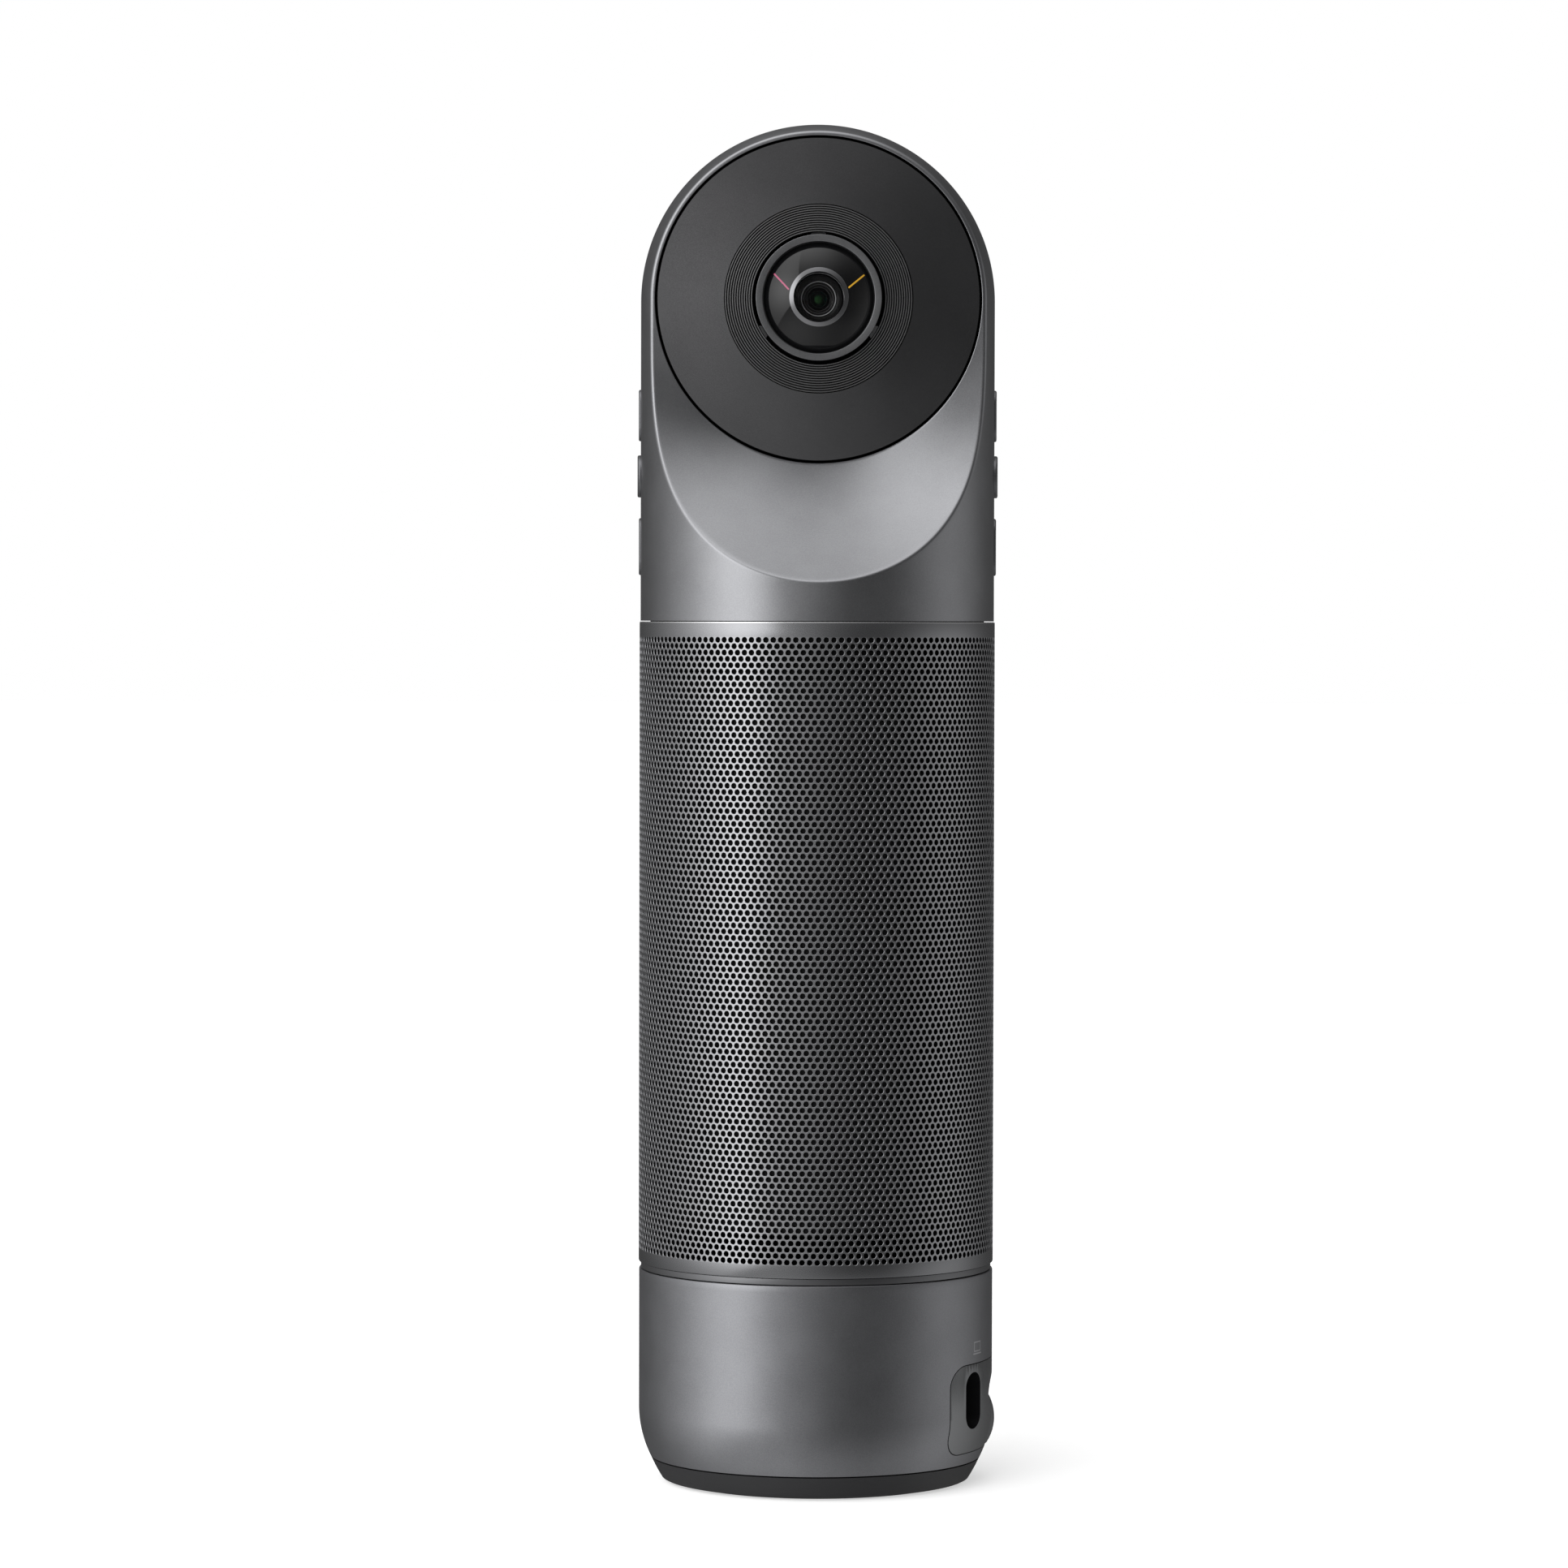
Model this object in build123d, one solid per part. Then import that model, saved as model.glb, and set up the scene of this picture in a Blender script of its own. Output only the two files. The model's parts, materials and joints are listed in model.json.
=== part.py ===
"""A tabletop 360 degree camera: a tall cylinder with a two-sided scooped head that carries two fisheye
lenses back to back, a perforated speaker sleeve in the middle, and a rounded base with a port panel.

Millimetres, +Z up. The origin is the centre of the foot, on the surface that the camera stands on.
The front lens looks along -Y, and the port panel is on the +X side.
"""
import math
import os

from build123d import *

# Driving dimensions of the whole camera, from the base up
body_radius = 38.0
head_step = 0.2
base_step = 0.1
base_top = 45.6
trim_height = 1.55
grille_length = 136.7
seam = 0.3
lens_rise = 68.05
overrun = 2.0
slip = 0.1
head_radius = body_radius - head_step
base_radius = body_radius - base_step
grille_bottom = base_top + trim_height
head_bottom = grille_bottom + grille_length + seam
lens_height = head_bottom + lens_rise

# Head shell: a domed tube whose two faces are scooped flat
head_wall = 2.0
face_depth = 13.1
face_wall = 3.0
rim_margin = 2.2
rim_radius = head_radius - rim_margin
scoop_rise = 0.4
scoop_foot_rise = 8.15
scoop_corner = lens_height - rim_radius + scoop_rise
scoop_foot = head_bottom + scoop_foot_rise
scoop_angle = math.degrees(math.atan2(head_radius - face_depth, scoop_corner - scoop_foot))
scoop_tangent_middle = 1.5
scoop_tangent_rim = 24.9
scoop_stations = 5
rim_rounding = 0.8

# Lens panel: the glossy disc round each lens
panel_land = 1.3
panel_seat = 1.8
panel_radius = rim_radius - panel_land
panel_opening_radius = panel_radius - panel_seat
panel_thickness = 1.6
panel_gap = 0.3
panel_hole_radius = 20.0

# Lens barrel, bezel and glass, as distances out from the camera's axis
barrel_radius = 12.5
barrel_back = 3.5
barrel_front = 18.0
barrel_flange_width = 3.5
barrel_flange_radius = barrel_radius + barrel_flange_width
barrel_flange_back = 8.9
barrel_flange_thickness = 1.4
barrel_rim = 1.3
barrel_mouth_radius = barrel_radius - barrel_rim
barrel_mouth_depth = 1.8
barrel_seat_radius = 6.3
barrel_seat_depth = barrel_front - barrel_mouth_depth
barrel_seat_thickness = 1.5
inner_ring_width = 0.9
inner_ring_hole_radius = barrel_seat_radius - slip - inner_ring_width
inner_lens_cover = 0.2
barrel_bore_radius = inner_ring_hole_radius - inner_lens_cover
barrel_stop = 1.5
barrel_stop_radius = barrel_bore_radius - barrel_stop
bezel_wall = 0.8
bezel_radius = barrel_radius + slip + bezel_wall
bezel_rise = 2.3
bezel_front = barrel_front + bezel_rise
bezel_length = 6.3
bezel_back = bezel_front - bezel_length
bezel_lip = 1.4
bezel_lip_width = 1.1
bezel_mouth_radius = barrel_radius - bezel_lip_width
dome_flange_radius = barrel_radius - 2 * slip
dome_height = 6.0
dome_wall = 1.6
inner_lens_thickness = 3.2
inner_lens_crown = 1.1
sensor_board_margin = 0.5
sensor_board_radius = barrel_radius - sensor_board_margin
sensor_board_thickness = 1.0
sensor_size = 8.0
sensor_thickness = 0.7

# Ribbed ring: the stepped cone between the panel and the lens
ribbed_rise = 4.8
ribbed_gap = 0.5
ribbed_inner_radius = bezel_radius + ribbed_gap
ribbed_steps = 6
ribbed_wall = 1.3
ribbed_flange_width = 1.5
ribbed_flange_radius = panel_hole_radius + ribbed_flange_width
ribbed_flange_thickness = 0.9

# Buttons: three on each side that press inwards, placed as shares of the way up to the lens
button_width = 6.0
button_height_shares = (0.6444, 0.4533, 0.2329)
button_heights = [head_bottom + lens_rise * share for share in button_height_shares]
button_lengths = (11.0, 9.0, 12.2)
button_widths = (button_width, 9.0, button_width)
button_stands = (0.45, 0.7, 0.4)
button_names = ("upper", "middle", "lower")
button_gap = 0.15
button_crown_radius = 0.35
button_flange = 0.9
button_flange_thickness = 0.8
button_flange_clearance = 0.45
button_travel = 0.3
button_stem_radius = 1.2
button_stem_length = 1.0
switch_clearance = 0.05
button_board_thickness = 1.0
button_board_width = 10.0
button_board_over = 5.0
button_board_under = 2.5
button_board_low = button_heights[-1] - button_board_under
button_board_high = button_heights[0] + button_board_over
switch_radius = 1.6

# Lens carrier: the frame inside the head that both barrels are screwed to
carrier_thickness = 3.0
carrier_margin = 2.8
carrier_radius = head_radius - head_wall - carrier_margin
carrier_boss_radius = barrel_flange_radius
carrier_leg_inset = 4.8
carrier_leg_width = 8.0
carrier_leg_outer = head_radius - head_wall - carrier_leg_inset
carrier_leg_inner = carrier_leg_outer - carrier_leg_width
carrier_leg_over = 3.0
carrier_leg_top = button_board_high + carrier_leg_over
carrier_pad_thickness = 3.0
carrier_pad_width = 19.0
carrier_pad_inset = 2.0
carrier_pad_outer = head_radius - head_wall - carrier_pad_inset
carrier_clearance = 0.6
lens_screw_count = 3
lens_screw_turn = 90.0
lens_screw_radius = 0.9
lens_screw_head_radius = 1.6
lens_screw_head_thickness = 1.0
lens_screw_length = 5.0

# Neck ring: joins the head to the grille and closes the speaker chamber
ring_wall = 2.6
neck_depth = 12.15
neck_low = head_bottom - neck_depth
web_thickness = 2.5
cable_hole_radius = 8.0
collar_wall = 4.7
collar_inner_radius = head_radius - head_wall - slip - collar_wall
collar_height = 6.0
neck_screw_inset = 6.2
neck_screw_x = head_radius - neck_screw_inset
neck_screw_y = 7.0
neck_screw_radius = 1.1
neck_screw_head_radius = 2.2
neck_screw_head_thickness = 1.6
neck_screw_depth = 4.0
board_thickness = 1.6
mic_count = 8
mic_size = 3.0
mic_thickness = 1.0

# Main board and the heat spreader on it
main_board_margin = 1.8
main_board_radius = head_radius - head_wall - main_board_margin
spreader_length = 40.0
spreader_width = 28.0
spreader_thickness = 6.0
spreader_fin_count = 7
spreader_fin_share = 0.5
spreader_base_thickness = 2.0

# Grille sleeve, its pattern of holes and the cloth behind it
grille_wall = 0.8
grille_edge = 0.25
grille_band = 4.4
grille_rows = 15
grille_columns = 30
grille_hole_radius = 1.9
grille_hole_sides = 6
liner_wall = 0.3
liner_gap = 0.15

# Lower ring: joins the grille to the base and carries the speaker box
lower_ring_rise = 8.85
lower_ring_high = grille_bottom + lower_ring_rise
trim_step = 0.4
trim_radius = base_radius - trim_step
lower_collar_height = 6.0

# Speaker box, its driver in front and its passive radiator behind
box_clearance = 3.2
box_radius = body_radius - grille_wall - box_clearance
box_flat = 10.0
box_half_depth = box_radius - box_flat
box_wall = 2.5
box_boss_radius = 3.2
box_boss_height = 7.0
box_screw_count = 4
box_screw_turn = 45.0
box_screw_inset = 7.0
box_screw_circle = box_radius - box_screw_inset
box_screw_radius = 1.2
box_screw_head_radius = 2.3
box_screw_head_thickness = 1.5
box_screw_length = 6.0
speaker_height = (lower_ring_high + neck_low) / 2
speaker_flange_thickness = 1.8
speaker_margin = 0.82
speaker_room = body_radius - grille_wall - liner_gap - liner_wall - speaker_margin
speaker_flange_radius = math.sqrt(speaker_room**2 - (box_half_depth + speaker_flange_thickness) ** 2)
speaker_land = 2.1
speaker_hole_radius = speaker_flange_radius - speaker_land
basket_wall = 1.2
basket_depth = 16.0
basket_back_radius = 14.0
basket_window_count = 6
surround_width = 3.0
surround_inner_radius = speaker_hole_radius - slip - basket_wall - surround_width
surround_wall = 0.5
cone_wall = 0.5
cone_depth = 8.0
coil_radius = 6.9
coil_wall = 0.5
coil_length = 6.0
magnet_radius = basket_back_radius
magnet_thickness = 9.0
magnet_slot = 0.5
magnet_slot_depth = 6.5
dust_cap_height = 2.2
radiator_land = 1.9
radiator_flange_inner_radius = speaker_hole_radius - radiator_land
radiator_surround_width = 6.0
radiator_plate_radius = radiator_flange_inner_radius - radiator_surround_width
radiator_plate_thickness = 1.4

# Base shell and its rounded lower edge
base_wall = 2.2
base_seam_height = 5.3
base_curve_radius = 24.0
base_curve_height = 16.0

# Base cap, the rubber foot under it and the tripod socket
cap_bottom = 0.6
cap_edge_rounding = 0.9
cap_lip_wall = 1.6
cap_lip_height = 2.8
cap_recess_depth = 0.8
cap_floor = 2.2
cap_edge_drop = base_curve_height - cap_bottom
cap_edge_radius = base_radius - base_curve_radius + math.sqrt(base_curve_radius**2 - cap_edge_drop**2)
foot_margin = 2.5
foot_inner_radius = 12.0
foot_outer_radius = cap_edge_radius - foot_margin
tripod_radius = 2.55
tripod_insert_radius = 5.0
tripod_insert_length = 8.4
tripod_boss_radius = 8.0
post_circle = (foot_inner_radius + foot_outer_radius) / 2
post_radius = 3.6
post_count = 3
post_turn = 30.0
base_screw_radius = 1.4
base_screw_head_radius = 2.7
base_screw_head_thickness = 1.2
base_screw_rise = 1.8

# Port panel on the +X side, with two plug openings and a finger scoop
port_panel_width = 50.6
port_panel_low = 8.0
port_panel_height = 19.0
port_panel_high = port_panel_low + port_panel_height
port_panel_corner = 4.5
port_panel_flange = 1.5
port_panel_flange_thickness = 1.1
plug_opening_offset = 17.8
plug_opening_width = 6.0
plug_opening_length = 12.0
plug_opening_drop = 7.8
plug_opening_height = port_panel_high - plug_opening_drop
scoop_cut_radius = 12.0
scoop_cut_depth = 1.05
scoop_cut_drop = 8.4
hump_radius = 10.0
hump_rise = 0.55
hump_over = 5.4
socket_width = 3.2
socket_length = 9.0
socket_wall = 0.3
socket_depth = 7.0
tongue_width = 0.7
tongue_length = 6.7
tongue_share = 0.8

# Base frame: the plate on the posts that holds the port board
frame_height = 12.0
frame_thickness = 2.5
frame_clearance = 0.25
port_board_inset = 15.9
port_board_x = base_radius - port_board_inset
port_board_margin = 2.3
port_board_room = base_radius - base_wall - port_panel_flange_thickness
port_board_half = math.sqrt(port_board_room**2 - (port_board_x + board_thickness) ** 2) - port_board_margin
port_board_width = 2 * port_board_half
port_board_drop = 7.6
port_board_top = base_top - port_board_drop
port_rib_width = 2.5
port_rib_length = 4.0


def rod(radius, low, high):
    """A round rod along Z from one height to another."""
    return Pos(0, 0, low) * Cylinder(radius, high - low, align=(Align.CENTER, Align.CENTER, Align.MIN))


def tube(inner, outer, low, high):
    """A round tube about Z, or a disc where the inner radius is zero."""
    solid = rod(outer, low, high)
    return solid - rod(inner, low - overrun, high + overrun) if inner > 0 else solid


def block(length, width, low, high):
    """A block centred on Z from one height to another."""
    return Pos(0, 0, low) * Box(length, width, high - low, align=(Align.CENTER, Align.CENTER, Align.MIN))


def side_plane(x, y, z):
    """A plane that faces +X, with the camera's width across it."""
    return Plane(origin=(x, y, z), x_dir=(0, 1, 0), z_dir=(1, 0, 0))


def turned(points):
    """A solid turned about Z from (radius, height) points."""
    return revolve(Plane.XZ * make_face(Polyline(*points, close=True)), Axis.Z)


def lens_turned(points, height=lens_height):
    """A solid turned about a lens's axis from (radius, distance out from the camera's axis) points."""
    profile = make_face(Polyline(*[(r, -out) for r, out in points], close=True))
    return Pos(0, 0, height) * revolve(profile, Axis.Y)


def to_rear(shape):
    """The same piece on the far side of the camera."""
    return Rot(0, 0, 180) * shape


def write(name, shape):
    solids = shape.solids()
    export_step(solids[0] if len(solids) == 1 else Compound(children=list(solids)), f"parts/{name}.step")


# Head shell


def scoop_tangent(x):
    """How far the scoop's arc reaches each way from its corner: short in the middle, long at the rim."""
    return scoop_tangent_middle + (scoop_tangent_rim - scoop_tangent_middle) * (x / rim_radius) ** 2


def scoop_section(x, inset):
    """The outline, at one place across the head, of what a scoop takes away: a flat face for the panel,
    an arc below it, and a slope down to the tube."""
    face = face_depth - inset
    half = math.radians(scoop_angle / 2)
    corner = scoop_corner - inset * math.tan(half)
    reach = head_radius + overrun
    tangent = scoop_tangent(x)
    radius = tangent / math.tan(half)
    centre = (-face - radius, corner + tangent)
    top = lens_height + reach

    def on_arc(angle):
        return (centre[0] + radius * math.cos(angle), centre[1] - radius * math.sin(angle))

    foot = (-reach, corner - (reach - face) / math.tan(2 * half))
    outline = [
        Line((-face, top), (-face, corner + tangent)),
        ThreePointArc((-face, corner + tangent), on_arc(half), on_arc(2 * half)),
        Line(on_arc(2 * half), foot),
        Line(foot, (-reach, top)),
        Line((-reach, top), (-face, top)),
    ]
    return side_plane(x, 0, 0) * make_face(outline)


def scoop(inset):
    """What is cut from the front of the head, lofted across it."""
    reach = head_radius + overrun
    places = [reach * n / scoop_stations for n in range(-scoop_stations, scoop_stations + 1)]
    return loft([scoop_section(x, inset) for x in places])


def head_form(inset, face_inset, low):
    """The head's outer form, or its cavity when inset: a domed tube less the two scoops."""
    radius = head_radius - inset
    form = tube(0, radius, low, lens_height) + Pos(0, 0, lens_height) * Sphere(radius)
    cut = scoop(face_inset)
    return form - cut - to_rear(cut)


def rounded_head():
    """The head's outer form with the edge round each face rounded."""
    outer = head_form(0, 0, head_bottom)
    rims = outer.edges().filter_by(GeomType.BSPLINE).filter_by(lambda edge: on_head(edge @ 0.5))
    return fillet(rims, rim_rounding)


def on_head(point):
    """Whether a point lies on the head's dome or tube."""
    height = max(point.Z - lens_height, 0)
    return abs(math.sqrt(point.X**2 + point.Y**2 + height**2) - head_radius) < slip


def head_shell():
    shell = rounded_head() - head_form(head_wall, face_wall, head_bottom - overrun)
    pocket = lens_turned(
        [
            (0, 0),
            (panel_opening_radius, 0),
            (panel_opening_radius, face_depth - panel_thickness),
            (panel_radius + panel_gap, face_depth - panel_thickness),
            (panel_radius + panel_gap, face_depth + overrun),
            (0, face_depth + overrun),
        ]
    )
    shell = shell - pocket - to_rear(pocket)
    for height, length, width in zip(button_heights, button_lengths, button_widths, strict=True):
        hole = button_prism(height, length, width, button_gap, head_radius - head_wall - overrun)
        shell = shell - hole - to_rear(hole)
    return shell


# Buttons


def button_prism(height, length, width, grow, low, high=head_radius + overrun):
    """A prism along +X with a button's rounded outline, grown all round."""
    plane = side_plane(low, 0, height)
    if length > width:
        outline = SlotOverall(length + 2 * grow, width + 2 * grow, rotation=90)
    else:
        outline = Circle(width / 2 + grow)
    return extrude(plane * outline, high - low)


def button(height, length, width, stand):
    """A button on the +X side: a cap proud of the head, a flange inside that keeps it in, and a stem."""
    crown = Cylinder(head_radius + stand, length + 2 * overrun)
    flange_front = head_radius - head_wall - button_flange_clearance
    flange_back = flange_front - button_flange_thickness
    cap = button_prism(height, length, width, 0, flange_back) & (Pos(0, 0, height) * crown)
    flange = button_prism(height, length, width, button_flange, flange_back, flange_front)
    stem_end = flange_back - button_stem_length
    stem = extrude(side_plane(stem_end, 0, height) * Circle(button_stem_radius), button_stem_length)
    cap = fillet(cap.faces().sort_by(Axis.X)[-1].edges(), button_crown_radius)
    return cap + flange + stem


def button_board():
    """The board behind the +X buttons, with a switch under each stem."""
    flange_back = head_radius - head_wall - button_flange_clearance - button_flange_thickness
    switch_face = flange_back - button_stem_length - button_travel - switch_clearance
    face = carrier_leg_outer + button_board_thickness
    board = block(button_board_thickness, button_board_width, button_board_low, button_board_high)
    board = Pos(face - button_board_thickness / 2, 0, 0) * board
    for height in button_heights:
        board += extrude(side_plane(face, 0, height) * Circle(switch_radius), switch_face - face)
    return board


# Lens panel, ribbed ring, bezel, barrel and glass


def lens_panel():
    back = face_depth - panel_thickness
    return lens_turned(
        [
            (panel_hole_radius, back),
            (panel_radius, back),
            (panel_radius, face_depth),
            (panel_hole_radius, face_depth),
        ]
    )


def ribbed_ring():
    """A cone of steps that rises from the panel to the bezel."""
    back = face_depth - panel_thickness
    outer = panel_hole_radius - slip
    run = (outer - ribbed_inner_radius) / ribbed_steps
    rise = ribbed_rise / ribbed_steps
    points = [(outer, back)]
    for n in range(ribbed_steps):
        points.append((outer - n * run, face_depth + n * rise))
        points.append((outer - (n + 1) * run, face_depth + n * rise))
    points.append((ribbed_inner_radius, face_depth + ribbed_rise))
    points.append((ribbed_inner_radius, face_depth + ribbed_rise - ribbed_wall))
    points.append((outer - ribbed_wall, back))
    points.append((outer - ribbed_wall, back - ribbed_flange_thickness))
    points.append((ribbed_flange_radius, back - ribbed_flange_thickness))
    points.append((ribbed_flange_radius, back))
    return lens_turned(points)


def lens_bezel():
    """The ring that screws on the barrel and holds the dome down."""
    inner = barrel_radius + slip
    lip = bezel_front - bezel_lip
    ring = lens_turned(
        [
            (inner, bezel_back),
            (bezel_radius, bezel_back),
            (bezel_radius, bezel_front),
            (bezel_mouth_radius, bezel_front),
            (bezel_mouth_radius, lip),
            (inner, lip),
        ]
    )
    return ring


def dome_lens():
    """The front glass: a domed shell on a flat flange that sits on the barrel."""
    seat = barrel_front
    lip = bezel_front - bezel_lip
    edge = bezel_mouth_radius - slip
    sphere = (edge**2 + dome_height**2) / (2 * dome_height)
    centre = lip + dome_height - sphere
    inner = sphere - dome_wall
    start = math.acos(edge / sphere)
    rise = seat - centre
    outer_arc = CenterArc((0, -centre), sphere, -90, 90 - math.degrees(start))
    inner_edge = math.sqrt(inner**2 - rise**2)
    inner_start = math.degrees(math.atan2(rise, inner_edge))
    inner_arc = CenterArc((0, -centre), inner, -90, 90 - inner_start)
    profile = make_face(
        [
            outer_arc,
            Line((edge, -lip), (dome_flange_radius, -lip)),
            Line((dome_flange_radius, -lip), (dome_flange_radius, -seat)),
            Line((dome_flange_radius, -seat), (inner_edge, -seat)),
            inner_arc,
            Line((0, -centre - inner), (0, -centre - sphere)),
        ]
    )
    return Pos(0, 0, lens_height) * revolve(profile, Axis.Y)


def lens_barrel():
    """The barrel: a flanged tube with a wide mouth, a seat for the inner ring and a bore for the glass."""
    flange_front = barrel_flange_back + barrel_flange_thickness
    seat_back = barrel_seat_depth - barrel_seat_thickness
    stop = seat_back - inner_lens_thickness
    barrel = lens_turned(
        [
            (barrel_stop_radius, barrel_back),
            (barrel_radius, barrel_back),
            (barrel_radius, barrel_flange_back),
            (barrel_flange_radius, barrel_flange_back),
            (barrel_flange_radius, flange_front),
            (barrel_radius, flange_front),
            (barrel_radius, barrel_front),
            (barrel_mouth_radius, barrel_front),
            (barrel_seat_radius, barrel_seat_depth),
            (barrel_seat_radius, seat_back),
            (barrel_bore_radius, seat_back),
            (barrel_bore_radius, stop),
            (barrel_stop_radius, stop),
        ]
    )
    return barrel - lens_screw_holes(flange_front + overrun)


def lens_screw_holes(reach):
    """The holes for the front barrel's screws, from the camera's axis out to a reach."""
    hole = Circle(lens_screw_radius + slip / 2)
    return [
        extrude(Plane(origin=(x, 0, lens_height + z), x_dir=(1, 0, 0), z_dir=(0, -1, 0)) * hole, reach)
        for x, z in lens_screw_places()
    ]


def inner_ring():
    """The bright ring that holds the inner glass in the barrel."""
    seat_back = barrel_seat_depth - barrel_seat_thickness
    outer = barrel_seat_radius - slip
    inner = inner_ring_hole_radius
    return lens_turned(
        [(inner, seat_back), (outer, seat_back), (outer, barrel_seat_depth), (inner, barrel_seat_depth)]
    )


def inner_lens():
    """The glass behind the inner ring, with a crowned front."""
    back = barrel_seat_depth - barrel_seat_thickness - inner_lens_thickness
    front = back + inner_lens_thickness
    edge = barrel_bore_radius - slip
    sphere = (edge**2 + inner_lens_crown**2) / (2 * inner_lens_crown)
    start = math.degrees(math.acos(edge / sphere))
    profile = make_face(
        [
            Line((0, -back), (edge, -back)),
            Line((edge, -back), (edge, -front)),
            CenterArc((0, -(front + inner_lens_crown - sphere)), sphere, -90, 90 - start),
            Line((0, -front - inner_lens_crown), (0, -back)),
        ]
    )
    return Pos(0, 0, lens_height) * revolve(profile, Axis.Y)


def sensor_board():
    """The round board behind the barrel, with the image sensor on it."""
    front = barrel_back
    board = lens_turned(
        [
            (0, front - sensor_board_thickness),
            (sensor_board_radius, front - sensor_board_thickness),
            (sensor_board_radius, front),
            (0, front),
        ]
    )
    side = min(sensor_size, math.sqrt(2) * barrel_stop_radius - slip)
    sensor = Pos(0, -front, lens_height) * Box(
        side, sensor_thickness, side, align=(Align.CENTER, Align.MAX, Align.CENTER)
    )
    return board + sensor


# Lens carrier, main board and heat spreader


def places_round(count, circle, turn=0.0):
    """Points evenly spaced on a circle."""
    angles = [math.radians(turn + n * 360 / count) for n in range(count)]
    return [(circle * math.cos(angle), circle * math.sin(angle)) for angle in angles]


def lens_screw_places():
    return places_round(lens_screw_count, (barrel_radius + carrier_boss_radius) / 2, lens_screw_turn)


def box_screw_places():
    return places_round(box_screw_count, box_screw_circle, box_screw_turn)


def post_places():
    return places_round(post_count, post_circle, post_turn)


def lens_carrier():
    """A plate across the head with a ring on each side for a barrel, and two legs down to the neck."""
    hub_front = barrel_flange_back
    pad_low = head_bottom + collar_height - seam / 2 + board_thickness
    pad_high = pad_low + carrier_pad_thickness
    half = carrier_thickness / 2
    disc = lens_turned([(0, -half), (carrier_radius, -half), (carrier_radius, half), (0, half)])
    plate = split(disc, Plane.XY.offset(pad_low + spreader_thickness + carrier_clearance), keep=Keep.TOP)
    for side in (-1, 1):
        leg = block(carrier_leg_outer - carrier_leg_inner, carrier_thickness, pad_low, carrier_leg_top)
        plate += Pos(side * (carrier_leg_inner + carrier_leg_outer) / 2, 0, 0) * leg
        pad = block(carrier_pad_outer - carrier_leg_inner, carrier_pad_width, pad_low, pad_high)
        plate += Pos(side * (carrier_leg_inner + carrier_pad_outer) / 2, 0, 0) * pad
    inner = barrel_radius + slip
    outer = carrier_boss_radius
    boss = lens_turned([(inner, 0), (outer, 0), (outer, hub_front), (inner, hub_front)])
    plate = plate + boss + to_rear(boss)
    plate -= neck_screw_holes(pad_low - overrun, pad_high)
    holes = lens_screw_holes(hub_front + overrun)
    return plate - holes - [to_rear(hole) for hole in holes]


def neck_screw_places():
    return [(x, y) for x in (-neck_screw_x, neck_screw_x) for y in (-neck_screw_y, neck_screw_y)]


def neck_screw_holes(low, high):
    hole = tube(0, neck_screw_radius + slip / 2, low, high)
    return [Pos(x, y, 0) * hole for x, y in neck_screw_places()]


def main_board():
    """The round board that sits on the neck ring's collar, inside the head's cavity."""
    low = head_bottom + collar_height - seam / 2
    board = tube(0, main_board_radius, low, low + board_thickness)
    board &= head_form(head_wall + slip, face_wall + slip, head_bottom)
    board -= tube(0, cable_hole_radius, low - overrun, low + board_thickness + overrun)
    return board - neck_screw_holes(low - overrun, low + board_thickness + overrun)


def heat_spreader():
    """A finned block on the main board that reaches up to the carrier's plate."""
    low = head_bottom + collar_height - seam / 2 + board_thickness
    spreader = block(spreader_length, spreader_width, low, low + spreader_base_thickness)
    pitch = spreader_length / spreader_fin_count
    fin = block(pitch * spreader_fin_share, spreader_width, low, low + spreader_thickness)
    for n in range(spreader_fin_count):
        spreader += Pos((n + 1 / 2) * pitch - spreader_length / 2, 0, 0) * fin
    return spreader


def screw(radius, head_radius_, head_thickness, length):
    """A pan-head screw along -Z, with the underside of its head at the origin."""
    return tube(0, head_radius_, 0, head_thickness) + tube(0, radius, -length, 0)


def lens_screws():
    """The screws through the barrels' flanges into the carrier."""
    front = barrel_flange_back + barrel_flange_thickness
    made = []
    for x, z in lens_screw_places():
        one = screw(lens_screw_radius, lens_screw_head_radius, lens_screw_head_thickness, lens_screw_length)
        placed = Pos(x, -front, lens_height + z) * Rot(90, 0, 0) * one
        made += [placed, to_rear(placed)]
    return made


def neck_screws():
    """The screws through the carrier's pads and the main board into the neck ring."""
    top = head_bottom + collar_height - seam / 2 + board_thickness + carrier_pad_thickness
    length = carrier_pad_thickness + board_thickness + neck_screw_depth
    one = screw(neck_screw_radius, neck_screw_head_radius, neck_screw_head_thickness, length)
    return [Pos(x, y, top) * one for x, y in neck_screw_places()]


# Neck ring, microphone board, grille and liner


def neck_ring():
    outer = body_radius - grille_wall - slip
    collar_outer = head_radius - head_wall - slip
    seam_low = head_bottom - seam / 2
    collar_top = seam_low + collar_height
    web_top = neck_low + web_thickness
    ring = turned(
        [
            (cable_hole_radius, neck_low),
            (outer, neck_low),
            (outer, seam_low),
            (collar_outer, seam_low),
            (collar_outer, collar_top),
            (collar_inner_radius, collar_top),
            (collar_inner_radius, seam_low),
            (outer - ring_wall, seam_low - ring_wall),
            (outer - ring_wall, web_top),
            (cable_hole_radius, web_top),
        ]
    )
    ring -= neck_screw_holes(collar_top - neck_screw_depth - slip, collar_top + overrun)
    for x, y in box_screw_places():
        ring -= Pos(x, y, 0) * tube(0, box_screw_radius + slip / 2, neck_low - overrun, web_top + overrun)
    return ring


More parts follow.
